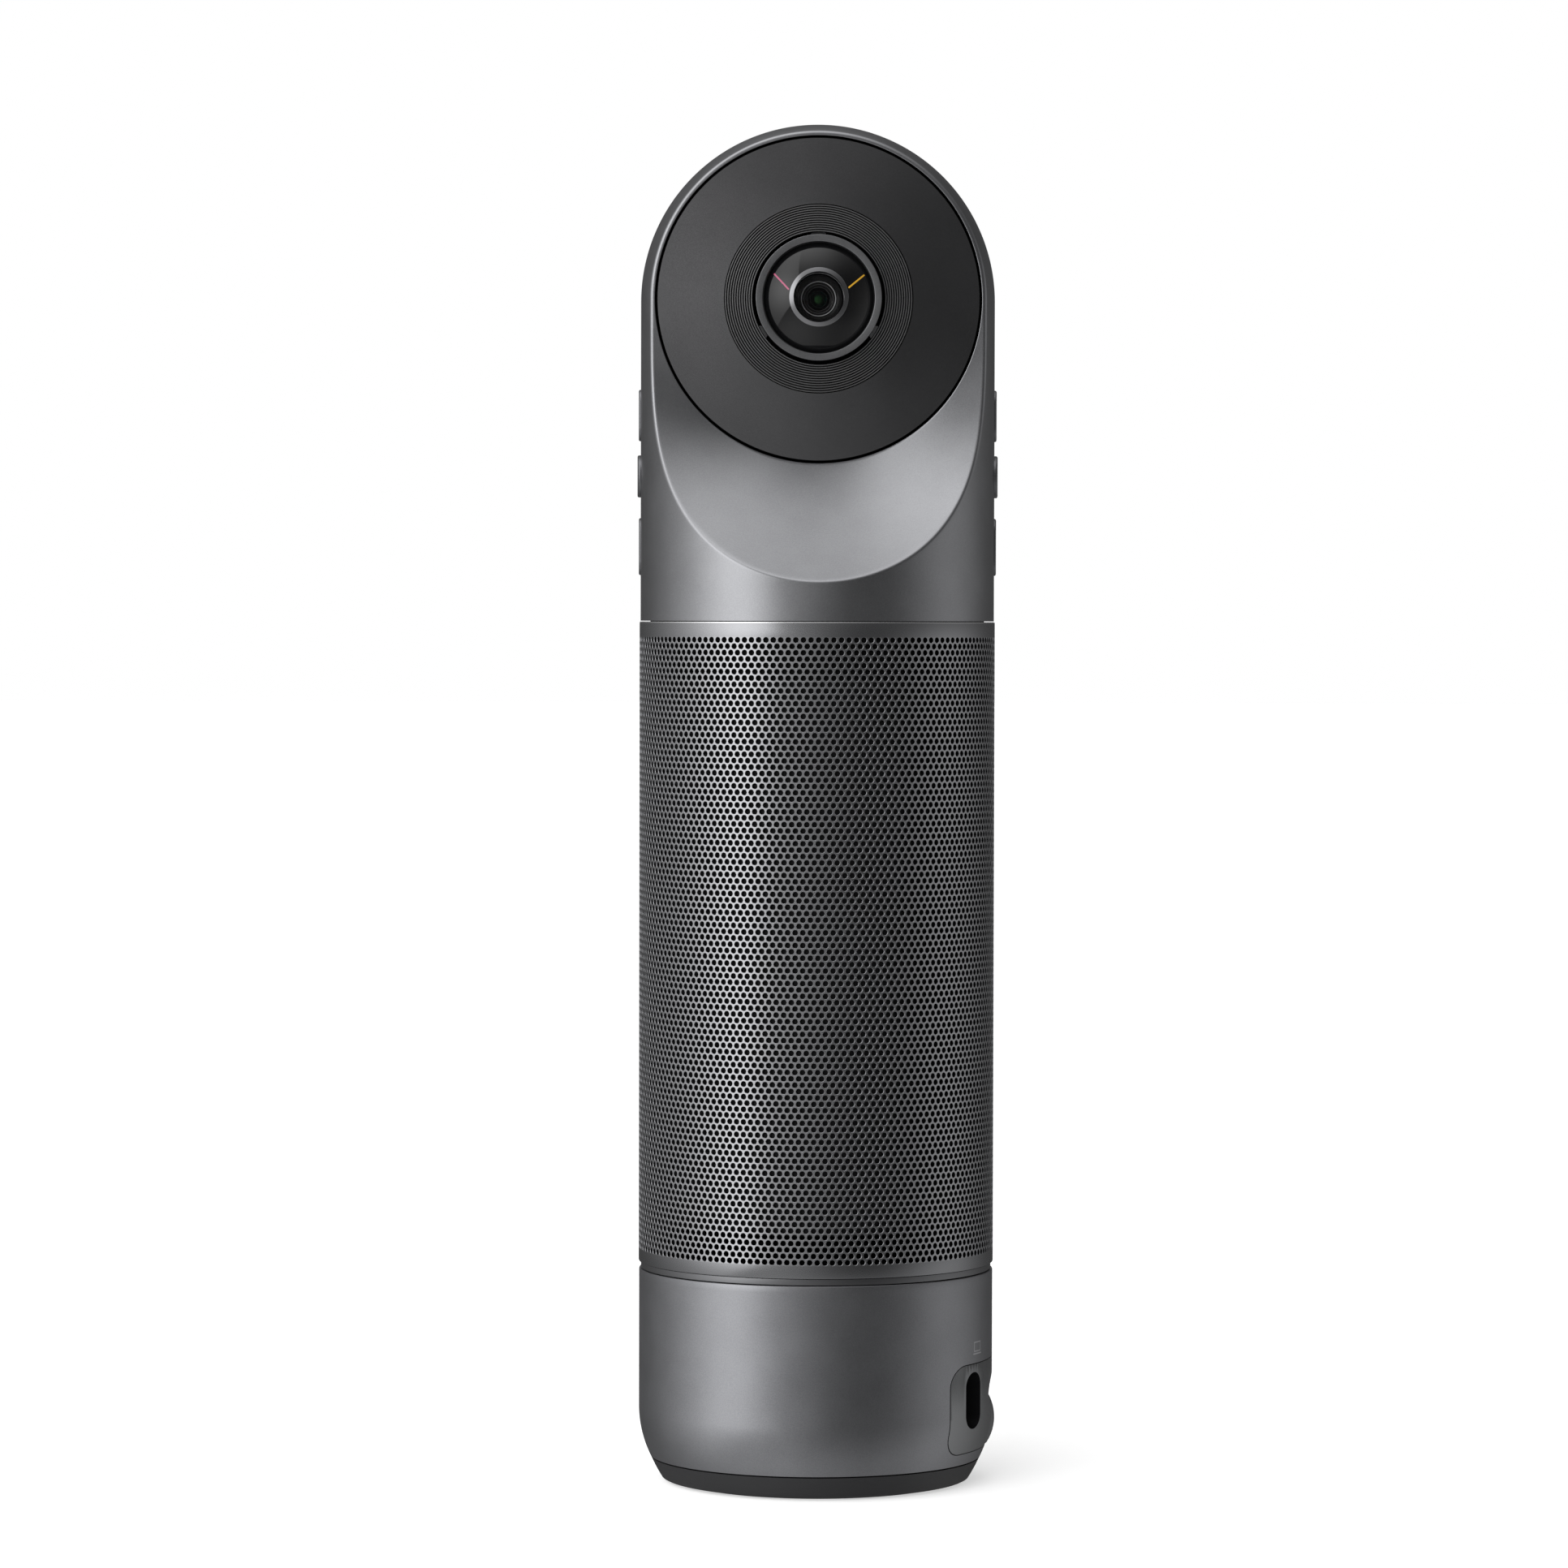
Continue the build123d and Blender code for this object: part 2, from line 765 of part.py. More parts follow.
def mic_board():
    """The ring board on the neck ring's web, with a ring of microphones."""
    low = neck_low + web_thickness
    outer = body_radius - grille_wall - 2 * slip - ring_wall
    inner = box_screw_circle + box_screw_head_radius + slip
    board = tube(inner, outer, low, low + board_thickness)
    for x, y in places_round(mic_count, (inner + outer) / 2):
        board += Pos(x, y, 0) * block(mic_size, mic_size, low, low + board_thickness + mic_thickness)
    return board


def grille_holes():
    """The cutters for the sleeve's holes: rows round the camera, each half a step on from the last."""
    low = grille_bottom + grille_band
    rise = (grille_length - 2 * grille_band) / grille_rows
    outline = RegularPolygon(grille_hole_radius, grille_hole_sides)
    inner = body_radius - grille_wall - overrun
    cutter = extrude(side_plane(inner, 0, 0) * outline, grille_wall + 2 * overrun)
    cutters = []
    for row in range(grille_rows):
        height = low + (row + 1 / 2) * rise
        for n in range(grille_columns):
            cutters.append(Pos(0, 0, height) * Rot(0, 0, (n + row / 2) * 360 / grille_columns) * cutter)
    return cutters


def grille_sleeve():
    top = head_bottom - seam
    inner = body_radius - grille_wall
    sleeve = turned(
        [
            (inner, grille_bottom),
            (body_radius - grille_edge, grille_bottom),
            (body_radius, grille_bottom + grille_edge),
            (body_radius, top - grille_edge),
            (body_radius - grille_edge, top),
            (inner, top),
        ]
    )
    return sleeve - grille_holes()


def acoustic_liner():
    outer = body_radius - grille_wall - liner_gap
    return tube(outer - liner_wall, outer, lower_ring_high, neck_low)


# Speaker box, driver and passive radiator


def box_form(inset):
    """The box's outer form, or its cavity when inset: a tube with flat front and back."""
    low, high = lower_ring_high + inset, neck_low - inset
    flats = block(2 * box_radius, 2 * (box_half_depth - inset), low, high)
    return tube(0, box_radius - inset, low, high) & flats


def along_y(radius, start, end, height=speaker_height):
    """A cylinder along Y from start to end at the speaker's height."""
    plane = Plane(origin=(0, start, height), x_dir=(1, 0, 0), z_dir=(0, 1, 0))
    return extrude(plane * Circle(radius), end - start)


def speaker_box():
    box = box_form(0) - box_form(box_wall)
    bore = box_screw_radius + slip / 2
    for x, y in box_screw_places():
        low_post = tube(0, box_boss_radius, lower_ring_high + box_wall / 2, lower_ring_high + box_boss_height)
        high_post = tube(0, box_boss_radius, neck_low - box_boss_height, neck_low - box_wall / 2)
        box += Pos(x, y, 0) * (low_post + high_post) & box_form(0)
        box -= Pos(x, y, 0) * tube(0, bore, lower_ring_high - overrun, lower_ring_high + box_screw_length)
        box -= Pos(x, y, 0) * tube(0, bore, neck_low - box_screw_length, neck_low + overrun)
    box -= along_y(speaker_hole_radius, -box_half_depth - overrun, 0)
    box -= along_y(speaker_hole_radius, 0, box_half_depth + overrun)
    return box


def speaker_turned(points):
    """A solid turned about the speaker's axis from (radius, distance out from the camera's axis) points."""
    return lens_turned(points, speaker_height)


def driver_basket():
    """The driver's frame: a flange on the box, and a conical cage back to the magnet."""
    front = box_half_depth + speaker_flange_thickness
    back = box_half_depth - basket_depth
    outer = speaker_hole_radius - slip
    cage = speaker_turned(
        [
            (basket_back_radius - basket_wall, back),
            (basket_back_radius, back),
            (outer, box_half_depth - box_wall),
            (outer, box_half_depth),
            (speaker_flange_radius, box_half_depth),
            (speaker_flange_radius, front),
            (outer - basket_wall / 2, front),
            (outer - basket_wall, box_half_depth - box_wall),
        ]
    )
    floor = speaker_turned(
        [
            (coil_radius + magnet_slot, back),
            (basket_back_radius, back),
            (basket_back_radius, back + basket_wall),
            (coil_radius + magnet_slot, back + basket_wall),
        ]
    )
    window_low = back + 2 * basket_wall
    window_high = box_half_depth - box_wall - basket_wall
    width = math.pi * basket_back_radius / basket_window_count
    for n in range(basket_window_count):
        window = Pos(0, -window_low, 0) * Box(
            width, window_high - window_low, speaker_flange_radius, align=(Align.CENTER, Align.MAX, Align.MIN)
        )
        cage -= Pos(0, 0, speaker_height) * Rot(0, n * 360 / basket_window_count, 0) * window
    return cage + floor


def cone_front():
    return box_half_depth + speaker_flange_thickness / 2


def driver_surround():
    """The half-roll of rubber between the basket and the cone."""
    outer = speaker_hole_radius - slip - basket_wall
    middle = (outer + surround_inner_radius) / 2
    roll = (outer - surround_inner_radius) / 2
    profile = make_face(
        [
            CenterArc((middle, -cone_front()), roll, 180, 180),
            Line((middle + roll, -cone_front()), (middle + roll - surround_wall, -cone_front())),
            CenterArc((middle, -cone_front()), roll - surround_wall, 0, -180),
            Line((middle - roll + surround_wall, -cone_front()), (middle - roll, -cone_front())),
        ]
    )
    return Pos(0, 0, speaker_height) * revolve(profile, Axis.Y)


def driver_cone():
    front, back = cone_front(), cone_front() - cone_depth
    edge = surround_inner_radius - slip
    return speaker_turned(
        [
            (edge, front),
            (edge - cone_wall, front),
            (coil_radius, back + cone_wall),
            (coil_radius, back),
            (coil_radius + cone_wall, back),
        ]
    )


def driver_dust_cap():
    """The shallow dome over the coil."""
    base = cone_front() - cone_depth + cone_wall + slip
    edge = coil_radius - slip
    sphere = (edge**2 + dust_cap_height**2) / (2 * dust_cap_height)
    centre = base + dust_cap_height - sphere
    cap = Pos(0, -centre, speaker_height) * (Sphere(sphere) - Sphere(sphere - coil_wall))
    keep = along_y(edge + overrun, -base - dust_cap_height - overrun, -base)
    return cap & keep


def voice_coil():
    front = cone_front() - cone_depth + cone_wall
    outer = coil_radius - slip / 2
    return speaker_turned(
        [
            (outer - coil_wall, front - coil_length),
            (outer, front - coil_length),
            (outer, front),
            (outer - coil_wall, front),
        ]
    )


def driver_magnet():
    """The magnet with the slot that the coil runs in."""
    front = box_half_depth - basket_depth
    slot_inner = coil_radius - coil_wall - magnet_slot
    slot_outer = coil_radius + magnet_slot
    return speaker_turned(
        [
            (0, front - magnet_thickness),
            (magnet_radius, front - magnet_thickness),
            (magnet_radius, front),
            (slot_outer, front),
            (slot_outer, front - magnet_slot_depth),
            (slot_inner, front - magnet_slot_depth),
            (slot_inner, front),
            (0, front),
        ]
    )


def radiator_frame():
    """The ring that holds the passive radiator on the back of the box."""
    front = box_half_depth + speaker_flange_thickness
    outer = speaker_hole_radius - slip
    ring = speaker_turned(
        [
            (radiator_flange_inner_radius, box_half_depth - box_wall),
            (outer, box_half_depth - box_wall),
            (outer, box_half_depth),
            (speaker_flange_radius, box_half_depth),
            (speaker_flange_radius, front),
            (radiator_flange_inner_radius, front),
        ]
    )
    return to_rear(ring)


def radiator_surround():
    """The half-roll between the radiator's frame and its plate."""
    outer = radiator_flange_inner_radius - slip / 2
    middle = (outer + radiator_plate_radius) / 2
    roll = (outer - radiator_plate_radius) / 2
    profile = make_face(
        [
            CenterArc((middle, -cone_front()), roll, 180, 180),
            Line((middle + roll, -cone_front()), (middle + roll - surround_wall, -cone_front())),
            CenterArc((middle, -cone_front()), roll - surround_wall, 0, -180),
            Line((middle - roll + surround_wall, -cone_front()), (middle - roll, -cone_front())),
        ]
    )
    return to_rear(Pos(0, 0, speaker_height) * revolve(profile, Axis.Y))


def radiator_plate():
    front = cone_front() + radiator_plate_thickness / 2
    return to_rear(
        speaker_turned(
            [
                (0, front - radiator_plate_thickness),
                (radiator_plate_radius - slip, front - radiator_plate_thickness),
                (radiator_plate_radius - slip, front),
                (0, front),
            ]
        )
    )


def box_screws():
    """The screws through both webs into the box's posts."""
    top = neck_low + web_thickness
    low = lower_ring_high - web_thickness
    length = web_thickness + box_screw_length - slip
    one = screw(box_screw_radius, box_screw_head_radius, box_screw_head_thickness, length)
    made = []
    for x, y in box_screw_places():
        made += [Pos(x, y, top) * one, Pos(x, y, low) * Rot(180, 0, 0) * one]
    return made


# Lower ring and base


def lower_ring():
    outer = body_radius - grille_wall - slip
    collar_outer = base_radius - base_wall - slip
    collar_inner = collar_outer - ring_wall
    collar_low = base_top + seam / 2 - lower_collar_height
    trim_low = base_top + seam / 2
    trim_high = grille_bottom - slip / 2
    web_low = lower_ring_high - web_thickness
    ring = turned(
        [
            (cable_hole_radius, web_low),
            (outer - ring_wall, web_low),
            (outer - ring_wall, trim_high),
            (collar_inner, trim_low),
            (collar_inner, collar_low),
            (collar_outer, collar_low),
            (collar_outer, trim_low),
            (trim_radius, trim_low),
            (trim_radius, trim_high),
            (outer, trim_high),
            (outer, lower_ring_high),
            (cable_hole_radius, lower_ring_high),
        ]
    )
    bore = tube(0, box_screw_radius + slip / 2, web_low - overrun, lower_ring_high + overrun)
    for x, y in box_screw_places():
        ring -= Pos(x, y, 0) * bore
    return ring


def base_form(inset, low, high):
    """The solid inside the base's outer skin, inset by a wall: straight above, rounded in below."""
    centre = base_radius - base_curve_radius
    arc = base_curve_radius - inset
    drop = base_curve_height - low
    end = math.degrees(math.asin(drop / arc))
    edge = centre + math.sqrt(arc**2 - drop**2)
    top = max(high, base_curve_height)
    profile = make_face(
        [
            Line((0, low), (edge, low)),
            CenterArc((centre, base_curve_height), arc, -end, end),
            Line((centre + arc, base_curve_height), (centre + arc, top + overrun)),
            Line((centre + arc, top + overrun), (0, top + overrun)),
            Line((0, top + overrun), (0, low)),
        ]
    )
    form = revolve(Plane.XZ * profile, Axis.Z)
    return split(form, Plane.XY.offset(high), keep=Keep.BOTTOM)


def port_prism(grow, inner):
    """A prism along +X with the port panel's rounded outline, grown all round."""
    middle = (port_panel_low + port_panel_high) / 2
    width = port_panel_width + 2 * grow
    height = port_panel_high - port_panel_low + 2 * grow
    outline = RectangleRounded(width, height, port_panel_corner + grow)
    return extrude(side_plane(inner, 0, middle) * outline, base_radius + overrun - inner)


def base_shell():
    low = base_seam_height
    shell = base_form(0, low, base_top) - base_form(base_wall, low - overrun, base_top + overrun)
    return shell - port_prism(slip, 0)


def plug_opening(side):
    plane = side_plane(0, side * plug_opening_offset, plug_opening_height)
    outline = SlotOverall(plug_opening_length, plug_opening_width, rotation=90)
    return extrude(plane * outline, base_radius + overrun)


def port_panel():
    """The panel in the shell's window: a flange behind it, a scoop for a fingertip and a hump below that."""
    low = base_seam_height
    back = base_form(base_wall + port_panel_flange_thickness, low - overrun, base_top + overrun)
    front = (base_form(0, low, base_top) - back) & port_prism(0, 0)
    scoop_bar = Cylinder(scoop_cut_radius, port_panel_width, rotation=(90, 0, 0))
    scoop_middle = base_radius - scoop_cut_depth + scoop_cut_radius
    front -= Pos(scoop_middle, 0, port_panel_high - scoop_cut_drop) * scoop_bar
    hump_middle = base_radius + hump_rise - hump_radius
    hump = Pos(hump_middle, 0, port_panel_low + hump_over) * Sphere(hump_radius)
    front += (hump - back) & port_prism(0, 0)
    flange = (base_form(base_wall + slip / 2, low, base_top) - back) & port_prism(port_panel_flange, 0)
    return front + flange - plug_opening(-1) - plug_opening(1)


def port_panel_room():
    """The space behind the shell that the panel's flange takes, with a clearance round it."""
    inner = base_form(base_wall + port_panel_flange_thickness + slip, cap_bottom, base_top)
    return port_prism(port_panel_flange + slip, 0) - inner


def plug_socket(side):
    """A metal socket shell with its tongue, on the port board."""
    back = port_board_x + board_thickness
    plane = side_plane(back, side * plug_opening_offset, plug_opening_height)
    shell = extrude(plane * SlotOverall(socket_length, socket_width, rotation=90), socket_depth)
    mouth = plane.offset(socket_wall)
    inner = SlotOverall(socket_length - 2 * socket_wall, socket_width - 2 * socket_wall, rotation=90)
    shell -= extrude(mouth * inner, socket_depth)
    shell += extrude(plane * Rectangle(tongue_width, tongue_length), socket_depth * tongue_share)
    return shell


def port_board():
    low = frame_height + frame_thickness
    board = block(board_thickness, port_board_width, low, port_board_top)
    return Pos(port_board_x + board_thickness / 2, 0, 0) * board


def base_frame():
    """A plate on the cap's posts, with two ribs that the port board stands against."""
    top = frame_height + frame_thickness
    plate = base_form(base_wall + frame_clearance, frame_height, top)
    rib = block(port_rib_length, port_rib_width, frame_height, port_board_top)
    rib_y = port_board_width / 2 - port_rib_width
    for side in (-1, 1):
        plate += Pos(port_board_x - port_rib_length / 2, side * rib_y, 0) * rib
    bore = tube(0, base_screw_radius + slip / 2, frame_height - overrun, top + overrun)
    for x, y in post_places():
        plate -= Pos(x, y, 0) * bore
    return plate - port_panel_room()


def base_cap():
    """The dark cap under the base: rounded edge, a lip inside the shell, posts, and a recess for the foot."""
    top = base_seam_height - slip
    form = base_form(0, cap_bottom, top)
    form = fillet(form.edges().filter_by(GeomType.CIRCLE).sort_by(Axis.Z)[0], cap_edge_rounding)
    lip_outer = base_radius - base_curve_radius + math.sqrt(
        (base_curve_radius - base_wall) ** 2 - (base_curve_height - base_seam_height) ** 2
    ) - slip
    floor = cap_bottom + cap_recess_depth
    inside = lip_outer - cap_lip_wall
    form -= tube(0, inside, floor + cap_floor, top + overrun)
    form += tube(inside, lip_outer, top - cap_floor, base_seam_height + cap_lip_height)
    form -= port_panel_room()
    form -= tube(foot_inner_radius - slip, foot_outer_radius + slip, 0, floor)
    form += tube(0, tripod_boss_radius, floor, frame_height)
    for x, y in post_places():
        form += Pos(x, y, 0) * tube(0, post_radius, floor, frame_height)
    for x, y in post_places():
        form -= Pos(x, y, 0) * tube(0, base_screw_radius + slip / 2, 0, frame_height + overrun)
        form -= Pos(x, y, 0) * tube(0, base_screw_head_radius + slip, 0, floor + base_screw_head_thickness)
    return form - tube(0, tripod_insert_radius, 0, cap_bottom + tripod_insert_length)


def tripod_insert():
    return tube(tripod_radius, tripod_insert_radius, cap_bottom, cap_bottom + tripod_insert_length)


def rubber_foot():
    return tube(foot_inner_radius, foot_outer_radius, 0, cap_bottom + cap_recess_depth)


def base_screws():
    """The screws under the foot, up through the posts into the base frame."""
    seat = cap_bottom + cap_recess_depth + base_screw_head_thickness
    length = frame_height - seat + base_screw_rise
    one = screw(base_screw_radius, base_screw_head_radius, base_screw_head_thickness - slip, length)
    return [Pos(x, y, seat) * Rot(180, 0, 0) * one for x, y in post_places()]


def main():
    os.makedirs("parts", exist_ok=True)
    write("head_shell", head_shell())
    for side, place in (("front", lambda shape: shape), ("rear", to_rear)):
        write(f"{side}_lens_panel", place(lens_panel()))
        write(f"{side}_ribbed_ring", place(ribbed_ring()))
        write(f"{side}_lens_bezel", place(lens_bezel()))
        write(f"{side}_dome_lens", place(dome_lens()))
        write(f"{side}_inner_ring", place(inner_ring()))
        write(f"{side}_inner_lens", place(inner_lens()))
        write(f"{side}_lens_barrel", place(lens_barrel()))
        write(f"{side}_sensor_board", place(sensor_board()))
    for side, place in (("right", lambda shape: shape), ("left", to_rear)):
        write(f"{side}_button_board", place(button_board()))
        sizes = zip(button_names, button_heights, button_lengths, button_widths, button_stands, strict=True)
        for name, height, length, width, stand in sizes:
            write(f"{side}_{name}_button", place(button(height, length, width, stand)))
    write("lens_carrier", lens_carrier())
    write("main_board", main_board())
    write("heat_spreader", heat_spreader())
    write("lens_screws", Compound(children=lens_screws()))
    write("neck_screws", Compound(children=neck_screws()))
    write("neck_ring", neck_ring())
    write("microphone_board", mic_board())
    write("grille_sleeve", grille_sleeve())
    write("acoustic_liner", acoustic_liner())
    write("speaker_box", speaker_box())
    write("driver_basket", driver_basket())
    write("driver_surround", driver_surround())
    write("driver_cone", driver_cone())
    write("driver_dust_cap", driver_dust_cap())
    write("voice_coil", voice_coil())
    write("driver_magnet", driver_magnet())
    write("radiator_frame", radiator_frame())
    write("radiator_surround", radiator_surround())
    write("radiator_plate", radiator_plate())
    write("box_screws", Compound(children=box_screws()))
    write("lower_ring", lower_ring())
    write("base_shell", base_shell())
    write("port_panel", port_panel())
    write("front_plug_socket", plug_socket(-1))
    write("rear_plug_socket", plug_socket(1))
    write("port_board", port_board())
    write("base_frame", base_frame())
    write("base_cap", base_cap())
    write("tripod_insert", tripod_insert())
    write("rubber_foot", rubber_foot())
    write("base_screws", Compound(children=base_screws()))


main()
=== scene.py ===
"""The looks of a tabletop 360 degree camera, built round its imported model.

Sizes are in millimetres and are turned into metres where a mesh is made. The sections follow the
camera as it is put together, from the foot up to the glass.
"""
import json
import math

import bmesh
import bpy
import numpy as np
from mathutils import Matrix, Vector


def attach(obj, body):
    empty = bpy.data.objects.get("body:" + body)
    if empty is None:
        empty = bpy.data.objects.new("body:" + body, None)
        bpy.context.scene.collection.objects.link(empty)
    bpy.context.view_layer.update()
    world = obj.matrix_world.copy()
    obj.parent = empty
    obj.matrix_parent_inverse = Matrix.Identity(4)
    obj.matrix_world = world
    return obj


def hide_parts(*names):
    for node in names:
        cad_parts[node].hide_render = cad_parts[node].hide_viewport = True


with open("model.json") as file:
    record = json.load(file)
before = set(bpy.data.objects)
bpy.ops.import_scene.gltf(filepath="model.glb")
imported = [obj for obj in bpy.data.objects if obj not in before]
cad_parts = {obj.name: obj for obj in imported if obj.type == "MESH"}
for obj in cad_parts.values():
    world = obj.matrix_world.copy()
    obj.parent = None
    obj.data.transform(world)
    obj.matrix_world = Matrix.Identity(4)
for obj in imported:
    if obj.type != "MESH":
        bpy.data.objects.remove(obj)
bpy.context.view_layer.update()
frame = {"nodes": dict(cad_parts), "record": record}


# ---- Rubber foot -------------------------------------------------------------------------------
# A flat ring of black rubber that the camera stands on. It is moulded, with a fine matt skin, and
# is pressed into a recess under the cap, where it also hides the screws.


class Value:
    """A shader socket that takes part in sums. Each sum adds the Math node that works it out."""

    def __init__(self, wiring, socket):
        self.wiring, self.socket = wiring, socket

    def sibling(self, name):
        """Another output of the same node."""
        return Value(self.wiring, self.socket.node.outputs[name])

    def __add__(self, other):
        return self.wiring.sum("ADD", self, other)

    def __radd__(self, other):
        return self.wiring.sum("ADD", other, self)

    def __sub__(self, other):
        return self.wiring.sum("SUBTRACT", self, other)

    def __rsub__(self, other):
        return self.wiring.sum("SUBTRACT", other, self)

    def __mul__(self, other):
        return self.wiring.sum("MULTIPLY", self, other)

    def __rmul__(self, other):
        return self.wiring.sum("MULTIPLY", other, self)

    def __pow__(self, other):
        return self.wiring.sum("POWER", self, other)

    def __abs__(self):
        return self.wiring.sum("ABSOLUTE", self, 0)

    def max(self, other):
        return self.wiring.sum("MAXIMUM", self, other)


class Wiring:
    """A node tree that is being made."""

    def __init__(self, tree):
        self.tree = tree

    def node(self, kind, settings=(), values=(), output=0):
        """Adds a node of a type: first its settings, then the numbers or links of its sockets."""
        node = self.tree.nodes.new(kind)
        for key, value in dict(settings).items():
            setattr(node, key, value)
        for key, value in dict(values).items():
            if isinstance(value, Value):
                self.tree.links.new(value.socket, node.inputs[key])
            else:
                node.inputs[key].default_value = value
        return Value(self, node.outputs[output])

    def sum(self, operation, first, second):
        return self.node("ShaderNodeMath", {"operation": operation}, {0: first, 1: second})

    def place(self):
        """Where a point lies on the camera, in metres."""
        return self.node("ShaderNodeTexCoord", output="Object")

    def split(self):
        """The same, as x, y and z in millimetres."""
        x = self.node("ShaderNodeSeparateXYZ", {}, {0: self.place()}, output="X")
        return x * 1000, x.sibling("Y") * 1000, x.sibling("Z") * 1000

    def grain(self, size, detail=2.0, stretch=(1, 1, 1)):
        """Noise from 0 to 1 whose spots are about size millimetres across, stretched along an axis."""
        where = self.node("ShaderNodeMapping", {}, {"Vector": self.place(), "Scale": stretch})
        values = {"Vector": where, "Scale": 1000 / size, "Detail": detail}
        return self.node("ShaderNodeTexNoise", {}, values)

    def between(self, mask, low, high):
        """0 below low, 1 above high, and a smooth rise between them."""
        values = {0: mask, 1: low, 2: high}
        return self.node("ShaderNodeMapRange", {"interpolation_type": "SMOOTHSTEP"}, values)

    def blend(self, mask, first, second):
        """A colour that goes from the first to the second as the mask goes from 0 to 1."""
        ends = {key: (*colour, 1) if isinstance(colour, tuple) else colour
                for key, colour in ((6, first), (7, second))}
        return self.node("ShaderNodeMix", {"data_type": "RGBA"}, {0: mask, **ends}, output=2)

    def bump(self, height, depth):
        """A surface that rises by depth millimetres as the height goes from 0 to 1."""
        return self.node("ShaderNodeBump", {}, {"Height": height, "Distance": depth / 1000, "Strength": 1})


class Finish(Wiring):
    """A material that is being made, with the Principled shader that its nodes feed."""

    def __init__(self, name, **constants):
        self.material = bpy.data.materials.new(name)
        self.material.use_nodes = True
        super().__init__(self.material.node_tree)
        self.shader = self.tree.nodes["Principled BSDF"]
        for socket, value in constants.items():
            self.shader.inputs[socket.replace("_", " ")].default_value = value

    def feed(self, **links):
        for socket, value in links.items():
            self.tree.links.new(value.socket, self.shader.inputs[socket.replace("_", " ")])
        return self.material


def moulded(name, colour, roughness, spot=0.35, depth=0.006, shift=0.25, **constants):
    """A moulded skin: fine pits, a slow drift of shade, and patches a little more worn than others."""
    plastic = Finish(name, **constants)
    pits, drift = plastic.grain(spot, 3), plastic.grain(14, 3)
    dark, light = (tuple(c * (1 + side * shift) for c in colour) for side in (-1, 1))
    return plastic.feed(
        Base_Color=plastic.blend(pits * 0.4 + drift * 0.6, dark, light),
        Roughness=roughness + (drift - 0.5) * 0.16 + (pits - 0.5) * 0.08,
        Normal=plastic.bump(pits, depth),
    )


def cells(rows, columns, close_rows=False, close_columns=True):
    """The corners of each four-sided face of a grid whose points are laid out row by row."""
    i = np.arange(rows if close_rows else rows - 1)[:, None]
    j = np.arange(columns if close_columns else columns - 1)[None, :]
    near, far, on = i * columns, (i + 1) % rows * columns, (j + 1) % columns
    return np.stack([near + j, near + on, far + on, far + j], -1).reshape(-1, 4)


def welded(mesh, apart=2e-7, slivers=True, outward=True):
    """Joins a mesh's seams and poles, clears its slivers, and turns its faces outwards."""
    work = bmesh.new()
    work.from_mesh(mesh)
    bmesh.ops.remove_doubles(work, verts=work.verts, dist=apart)
    if slivers:
        bmesh.ops.dissolve_degenerate(work, edges=work.edges, dist=1e-7)
    if outward:
        bmesh.ops.recalc_face_normals(work, faces=work.faces)
    work.to_mesh(mesh)
    work.free()


def smoothed(mesh, crease):
    """Shades a mesh smoothly, but for the edges that turn by more than the crease, in degrees."""
    mesh.shade_smooth()
    mesh.set_sharp_from_angle(angle=math.radians(crease))


def hung(name, mesh, material, nodes, body):
    """Makes a piece of a mesh with its material, hangs it on the body that it moves with, and hides the nodes
    that it stands for.
    """
    mesh.materials.append(material)
    piece = bpy.data.objects.new(name, mesh)
    bpy.context.scene.collection.objects.link(piece)
    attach(piece, body)
    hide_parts(*nodes)
    return piece


def skin(name, points, faces, material, slot, nodes, body="housing", crease=32.0, closed=True):
    """Makes a piece of points in millimetres and four-sided faces. A closed form gets its faces turned
    outwards; an open one keeps the way that it was laid."""
    mesh = bpy.data.meshes.new(name)
    mesh.vertices.add(len(points))
    mesh.vertices.foreach_set("co", (points / 1000).astype(np.float32).ravel())
    mesh.loops.add(faces.size)
    mesh.loops.foreach_set("vertex_index", faces.astype(np.int32).ravel())
    mesh.polygons.add(len(faces))
    mesh.polygons.foreach_set("loop_start", np.arange(0, faces.size, 4, dtype=np.int32))
    mesh.update(calc_edges=True)
    welded(mesh, outward=closed)
    smoothed(mesh, crease)
    return hung(name, mesh, material, nodes, body)


def eased(corners, ease, steps=6):
    """A closed outline with soft corners. A corner C gives way to (1-u)^2 A + 2u(1-u) C + u^2 B, where
    A and B lie back along its two sides by the ease, or by less where a side is short."""
    c = np.array(corners, float)
    back, ahead = np.roll(c, 1, 0) - c, np.roll(c, -1, 0) - c
    back_length, ahead_length = (np.linalg.norm(v, axis=1, keepdims=True) for v in (back, ahead))
    reach = np.minimum(ease, 0.45 * np.minimum(back_length, ahead_length))
    a, b = c + back / back_length * reach, c + ahead / ahead_length * reach
    u = np.linspace(0, 1, steps)[None, :, None]
    curve = (1 - u) ** 2 * a[:, None] + 2 * u * (1 - u) * c[:, None] + u**2 * b[:, None]
    return curve.reshape(-1, 2)


def turned(outline, sides=360):
    """A ring swept by a closed (radius, height) outline: x = r cos a, y = r sin a, z = h."""
    angle = np.linspace(0, 2 * np.pi, sides, endpoint=False)[None, :]
    r, h = outline[:, :1], outline[:, 1:]
    grid = np.stack([r * np.cos(angle), r * np.sin(angle), h + 0 * angle], -1)
    return grid.reshape(-1, 3), cells(len(outline), sides, close_rows=True)


rubber = moulded("rubber", (0.016, 0.016, 0.017), 0.62, Specular_IOR_Level=0.35)
foot_outline = eased([(12.0, 0), (29.807, 0), (29.807, 1.4), (12.0, 1.4)], 0.25)
skin("rubber_foot_ring", *turned(foot_outline), rubber, "rubber", ["rubber_foot"])


